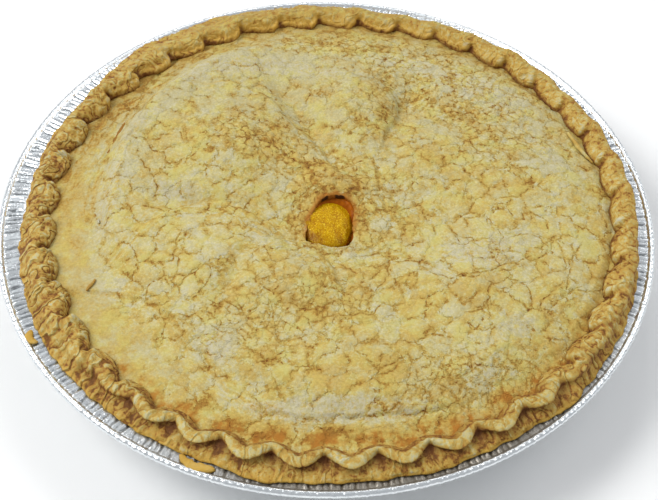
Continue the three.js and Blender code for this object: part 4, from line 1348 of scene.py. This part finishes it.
baked_edge, shader, place = new_material("baked edge")
flaky = kept(place, "flaky")
shadow = kept(place, "shadow")
blotchy = kept(place, "blotchy")
layered = flakes(place)
fine_noise = grain(place, 0.0015, 4.0, 0.7)
blotch = grain(place, 0.0075, 4.0, 0.65, shift=(0.2, 0.0, 0.1))
brown_spots = ease(grain(warped(place, 0.004, 0.004, 2.0), 0.0026, 3.0, 0.6), 0.48, 0.62)
tone = kept(place, "baking_and_shade") + (blotch - 0.5) * 1.1 - (lumps(place) - 0.5) * 0.35
tone += (fine_noise - 0.5) * (blotchy + 0.5) + brown_spots * blotchy * 0.38
tone -= ease(layered, 0.7, 0.97) * flaky * 0.20
tone += ease(layered, 0.0, 0.18, 1.0, 0.0) * flaky * 0.46
tone += (0.5 - combed(place)) * kept(place, "comb") * 1.3
tone = reckon("MINIMUM", tone, ease(tone, 0.6, 1.35, 0.6, 0.96))
mottle = ease(fine_noise, 0.3, 0.7, 0.86, 1.10) * (1.0 - shadow * 0.45)
shade = dough_colour(tone, mottle)
shade = blend(kept(place, "golden") * ease(tone, 0.45, 0.95, 0.9, 0.0), shade, GOLDEN_TINT)
olive = blend(ease(rumples(place), 0.56, 0.42), OLIVE_TINT, OLIVE_BROWN)
shade = blend(kept(place, "olive") * ease(tone, 0.4, 0.85, 1.0, 0.0) * 0.85, shade, olive)
shade = blend(shadow * 0.78, shade, SHADED_COLOUR)
fill_inputs(shader, {
    "Base Color": shade,
    "Roughness": 0.66,
    "Specular IOR Level": 0.35,
    "Normal": bump(layered * flaky * 1.1 + fine_noise, 0.8, 0.0007)})
run_works(edge, works, EDGE_RELIEF, baked_edge)
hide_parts("crust")
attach(edge, "root")

# Scraps of dough.
# Thin bits that tore off while the edge was pinched, baked on where they fell: on the foil, along the foot
# of the edge and on the lid.
# Two ends at pixels, what it lies on and how high over it, half width and thickness in millimetres, baking
SCRAPS = [
    ("scrap_on_foil", (178, 455), (214, 473), "flange", 0.3, 2.6, 1.1, 0.50),
    ("scrap_left", (28, 330), (34, 344), "flange", 0.3, 2.3, 0.9, 0.50),
    ("scrap_by_skirt", (88, 386), (96, 391), "flange", 0.4, 0.9, 0.8, 0.66),
    ("scrap_by_skirt_2", (102, 398), (111, 404), "flange", 0.4, 0.8, 0.8, 0.60),
    ("scrap_near_right", (548, 420), (580, 388), "flange", 0.8, 1.9, 0.9, 0.62),
    ("sliver_on_lid", (565, 133), (594, 166), "lid", 0.3, 1.5, 1.3, 0.44),
    ("flake_on_lid", (87, 292), (95, 279), "lid", 0.2, 0.8, 0.8, 0.84),
    ("speck_on_lid", (97, 221), (100, 223), "lid", 0.2, 0.6, 0.6, 0.0)]
SCRAP_STEPS = 14

# The section of a scrap, in shares of its half width and of its thickness
SCRAP_SECTION = [
    (-1.0, 0.0), (-0.8, 0.7), (-0.2, 1.0), (0.4, 0.9), (0.9, 0.5), (1.0, 0.0), (0.4, -0.1), (-0.4, -0.1)]


def place_on_flange(px, py):
    """Where the sight line through a pixel of the photograph meets the flange, in millimetres."""
    ray = sight_line(px, py)
    return tuple((eye + ray * ((FLANGE_Z + 1 - eye.z) / ray.z)).xy)


def scrap_rings(first, last, lies_on, rise, half_width, thickness, rng):
    """Rings round a flat strip that tapers to both ends and follows what it lies on."""
    along = last - first
    sideways = np.array([-along[1], along[0]]) / np.hypot(*along)
    rings = []
    for i in range(SCRAP_STEPS + 1):
        t = i / SCRAP_STEPS
        wide = half_width * (1 - abs(2 * t - 1) ** 2.5) ** 0.6 * rng.uniform(0.75, 1.15)
        bend = 0.5 * half_width * math.sin(5 * t + half_width)
        ring = []
        for side, up in SCRAP_SECTION if 0 < i < SCRAP_STEPS else [(0.0, 0.4)]:
            at = first + along * t + sideways * (side * wide + bend)
            base = float(lid_height(*at)) if lies_on == "lid" else FLANGE_Z
            ring.append((*at, base + rise + up * thickness))
        rings.append(np.array(ring))
    return rings


rng = np.random.default_rng(11)
for name, first, last, lies_on, rise, half_width, thickness, baked in SCRAPS:
    find = on_lid if lies_on == "lid" else place_on_flange
    ends = np.array([find(*first), find(*last)])
    scrap = skin(name, scrap_rings(*ends, lies_on, rise, half_width, thickness, rng))
    count = len(scrap.data.vertices)
    mark(scrap, "baking_and_shade", np.full(count, baked))
    mark(scrap, "golden", np.full(count, 0.7 * (lies_on == "flange")))
    for absent in ("comb", "flaky", "shadow", "blotchy", "olive"):
        mark(scrap, absent, np.zeros(count))
    scrap.data.materials.append(baked_edge)
    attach(scrap, "root")

# The filling.
# Peaches in a thickened, glossy, brown-orange gel, which fills the crust and shows round the fruit in the
# steam vent, where it has boiled up against the far side of the hole and left two dark gaps.
GEL_LEVEL = 1.4
GEL_EDGE_RISE = 1.8
GEL_LEAN = 1.4
GEL_LEAN_ANGLE = 30
GEL_FAR_RISE = 5.5
CAVITY_SHOULDER_DROP = 4.5
FILLING_FLAT_RADIUS = 60
FILLING_LID_RADIUS = 118.0
FILLING_ROUND = 160
GEL_COLOUR = "#b4630a"
GEL_DARK = "#8c4504"
GAP_SHADOW_COLOUR = "#2c1204"


def gel_ring(share, rise, count):
    """A ring on the gel in the vent, from its middle (share 0) to its edge."""
    angles = TIP_ANGLE + np.arange(count) * 360 / count
    a = np.radians(angles)
    reach = vent_reach(angles) * share
    far = smooth(np.sin(a), 0.1, 0.9) * smooth(share, 0.35, 1.0)
    z = FLANGE_Z + GEL_LEVEL + rise + share * GEL_LEAN * np.cos(a - math.radians(GEL_LEAN_ANGLE))
    z = z + GEL_FAR_RISE * far
    return np.stack([VENT_CENTRE[0] + reach * np.cos(a), VENT_CENTRE[1] + reach * np.sin(a), z], 1)


def under_lid_ring(share):
    """A ring close under the lid, from the vent's edge (share 0) outwards, dented where the gaps are."""
    angles = TIP_ANGLE + np.arange(FILLING_ROUND) * 360 / FILLING_ROUND
    a = np.radians(angles)
    dent = sum(bell(angles % 360, at, width) for at, width in DARK_GAPS) * (share < 0.1)
    vent = vent_reach(angles) * 1.02 + 2.5 * dent
    x = mix(VENT_CENTRE[0] + vent * np.cos(a), FILLING_LID_RADIUS * np.cos(a), share)
    y = mix(VENT_CENTRE[1] + vent * np.sin(a), FILLING_LID_RADIUS * np.sin(a), share)
    return np.stack([x, y, lid_height(x, y) - LID_THICKNESS - WALL_GAP - 0.5 * dent], 1)


floor_z = TIN_WALL + 2 * GAP + CRUST_FLOOR
shoulder_z = FLANGE_Z + MOAT_HEIGHT - LID_THICKNESS - CAVITY_SHOULDER_DROP - WALL_GAP
hidden_rings = [
    circle(0.0, floor_z, 1),
    circle(FILLING_FLAT_RADIUS, floor_z, 64),
    circle(TIN_BASE_RADIUS - CRUST_SIDE - WALL_GAP, floor_z, FILLING_ROUND),
    circle(CAVITY_TOP_RADIUS - WALL_GAP, shoulder_z, FILLING_ROUND),
    *[under_lid_ring(share) for share in (1.0, 0.75, 0.5, 0.25, 0.1)]]
under_edge = under_lid_ring(0.04)
gel_edge = gel_ring(1.0, GEL_EDGE_RISE, FILLING_ROUND)
gel_rings = [
    under_edge, mix(under_edge, gel_edge, 0.33), mix(under_edge, gel_edge, 0.66), gel_edge,
    *[gel_ring(share, GEL_EDGE_RISE * smooth(share, 0.72, 1.0), 128)
      for share in (0.95, 0.9, 0.84, 0.78, 0.7)],
    *[gel_ring(share, 0.0, 64) for share in (0.6, 0.48, 0.36, 0.24, 0.12)],
    gel_ring(0.0, 0.0, 1)]
filling = skin("fruit_filling", hidden_rings + gel_rings)

# The gaps are painted shadow: dark on the first two rings in from under the lid, half dark on the third
x, y = points_of(filling)[:, :2].T
gaps = np.max([bell(heading_of(x, y, VENT_CENTRE) % 360, at, width) for at, width in DARK_GAPS], 0)
ring_darkness = [0.0] * len(hidden_rings) + [1.0, 1.0, 0.5] + [0.0] * (len(gel_rings) - 3)
mark(filling, "gap", gaps * np.repeat(ring_darkness, [len(ring) for ring in hidden_rings + gel_rings]))

# The dark gaps are painted shadow over the gel
gel, shader, place = new_material("fruit gel")
shade = blend(ease(grain(place, 0.004, 3.0, 0.6), 0.3, 0.7), GEL_DARK, GEL_COLOUR)
fill_inputs(shader, {
    "Base Color": blend(ease(kept(place, "gap"), 0.3, 0.7), shade, GAP_SHADOW_COLOUR),
    "Roughness": 0.3,
    "Specular IOR Level": 0.08,
    "Normal": bump(grain(place, 0.003, 3.0), 0.5, 0.0008)})
filling.data.materials.append(gel)
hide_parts("filling")
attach(filling, "root")

# The piece of peach.
# One cooked slice that has risen into the vent and nearly fills it: soft, wet, golden yellow, with a fine
# grain that glistens.
PEACH_CENTRE = (-1.9, -8.6, -0.2)
PEACH_HALF_SIZE = (14.0, 20.0, 8.7)
PEACH_TURN = 16
PEACH_BLUNTNESS = 3.4
PEACH_ROUND = 160
PEACH_LEVELS = 80
PEACH_COLOUR = "#c49600"
PEACH_DEEP = "#ae7a00"
PEACH_SHADE = "#98600a"
PAINTED_GLINT_COLOUR = "#e2c232"

# The painted shadow on the piece's margin, where it goes under the lid: the point that it lies round, and its
# width
PEACH_MARGIN_SHADOW = "#7a4206"
MARGIN_CENTRE = (1.7, -10.1)
MARGIN_WIDTH = 4.5
PEACH_RELIEF = {"Fibre Height": 0.0014}


def peach_rings():
    """Rings of a bluntly rounded block, turned a little, from its underside up to its top."""
    c, s = math.cos(math.radians(PEACH_TURN)), math.sin(math.radians(PEACH_TURN))
    rings = []
    for i in range(PEACH_LEVELS + 1):
        tilt = math.pi * (i / PEACH_LEVELS - 0.5)
        rise = math.copysign(abs(math.sin(tilt)) ** (2 / PEACH_BLUNTNESS), tilt)
        reach = max(math.cos(tilt), 0.0) ** (2 / PEACH_BLUNTNESS)
        count = PEACH_ROUND if 0 < i < PEACH_LEVELS else 1
        a = np.arange(count) * 2 * np.pi / count
        u = PEACH_HALF_SIZE[0] * reach * np.cos(a)
        v = PEACH_HALF_SIZE[1] * reach * np.sin(a)
        z = np.full(count, FLANGE_Z + PEACH_CENTRE[2] + PEACH_HALF_SIZE[2] * rise)
        rings.append(np.stack([PEACH_CENTRE[0] + u * c - v * s, PEACH_CENTRE[1] + u * s + v * c, z], 1))
    return rings


def fibres(place):
    """The grain of the fruit, drawn out along the slice."""
    return grain(reckon_place("MULTIPLY", place, (1.0, 0.5, 1.0)), 0.003, 3.0, 0.6)


peach = skin("peach", peach_rings())
x, y = points_of(peach)[:, :2].T
heading = heading_of(x, y, MARGIN_CENTRE)
to_edge = vent_reach(heading) - np.hypot(x - MARGIN_CENTRE[0], y - MARGIN_CENTRE[1])
shaded_side = 0.45 + 0.55 * side_bell(heading, 205, 50) + 0.4 * side_bell(heading, 25, 45)
mark(peach, "margin_shadow", smooth(to_edge, MARGIN_WIDTH, 0.0) * np.clip(shaded_side, 0, 1))

works, given, spot = new_works("peach flesh", PEACH_RELIEF)
rise = (fibres(spot) - 0.5) * given["Fibre Height"]
end_works(works, given, reckon_place("SCALE", give(works, "GeometryNodeInputNormal"), Scale=rise))

flesh, shader, place = new_material("wet peach flesh")
fibre = fibres(place)
beads_and_glints = grain(place, 0.0006, 2.0)
shade = blend(ease(fibre, 0.3, 0.6), PEACH_DEEP, PEACH_COLOUR)
shade = blend(ease(beads_and_glints, 0.35, 0.46, 0.6, 0.0), shade, PEACH_SHADE)
# Pale yellow specks on the grain are painted glints
shade = blend(ease(beads_and_glints, 0.58, 0.64, 0.0, 1.0), shade, PAINTED_GLINT_COLOUR)
margin_shadow = kept(place, "margin_shadow") * ease(fibre, 0.25, 0.6, 1.0, 0.6)
fill_inputs(shader, {
    "Base Color": blend(ease(margin_shadow, 0.1, 1.0, 0.0, 0.9), shade, PEACH_MARGIN_SHADOW),
    "Roughness": 0.28,
    "Specular IOR Level": 0.11,
    "Subsurface Weight": 0.1,
    "Subsurface Radius": (0.003, 0.0015, 0.0004),
    "Subsurface Scale": 1.0,
    "Normal": bump(beads_and_glints, 0.5, 0.0004)})
run_works(peach, works, PEACH_RELIEF, flesh)
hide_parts("peach_piece")
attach(peach, "root")

# The table and the light.
# A plain pale table top. The light is soft: a large lamp high on the left, a small one behind the pie, a
# wide weak one on the right, and a pale room round them.
TABLE_HALF = 3.0
TABLE_COLOUR = "#f6f6f5"
TABLE_LIGHT = "#fafafa"
LAMPS = [
    ("key lamp", (-2.0, 0.2, 2.2), 1.5, 60.5, (1.0, 1.0, 0.99)),
    ("back lamp", (0.0, 1.55, 1.75), 0.6, 5.0, (1.0, 1.0, 1.0)),
    ("right lamp", (1.6, 0.7, 1.7), 1.4, 12.0, (1.0, 1.0, 1.0))]
LAMPS_LOOK_AT = (0, 0, 0.04)
ROOM_COLOUR = (0.95, 0.97, 1.0, 1.0)
ROOM_STRENGTH = 0.51

table_mesh = bpy.data.meshes.new("table")
corners = [(TABLE_HALF * right, TABLE_HALF * back, 0) for right, back in ((-1, -1), (1, -1), (1, 1), (-1, 1))]
table_mesh.from_pydata(corners, [], [(0, 1, 2, 3)])
table = bpy.data.objects.new("table", table_mesh)
bpy.context.scene.collection.objects.link(table)
pale, shader, place = new_material("pale table")
fill_inputs(shader, {
    "Base Color": blend(grain(place, 0.15, 3.0), TABLE_COLOUR, TABLE_LIGHT),
    "Roughness": 0.6})
table_mesh.materials.append(pale)

for name, place, width, power, tint in LAMPS:
    lamp = bpy.data.objects.new(name, bpy.data.lights.new(name, "AREA"))
    lamp.data.size = width
    lamp.data.energy = power
    lamp.data.color = tint
    lamp.location = place
    lamp.rotation_euler = (Vector(LAMPS_LOOK_AT) - Vector(place)).to_track_quat("-Z", "Y").to_euler()
    bpy.context.scene.collection.objects.link(lamp)

world = bpy.data.worlds.new("room")
world.use_nodes = True
room = world.node_tree.nodes["Background"]
room.inputs["Color"].default_value = ROOM_COLOUR
room.inputs["Strength"].default_value = ROOM_STRENGTH
bpy.context.scene.world = world
bpy.context.scene.view_settings.view_transform = "Standard"
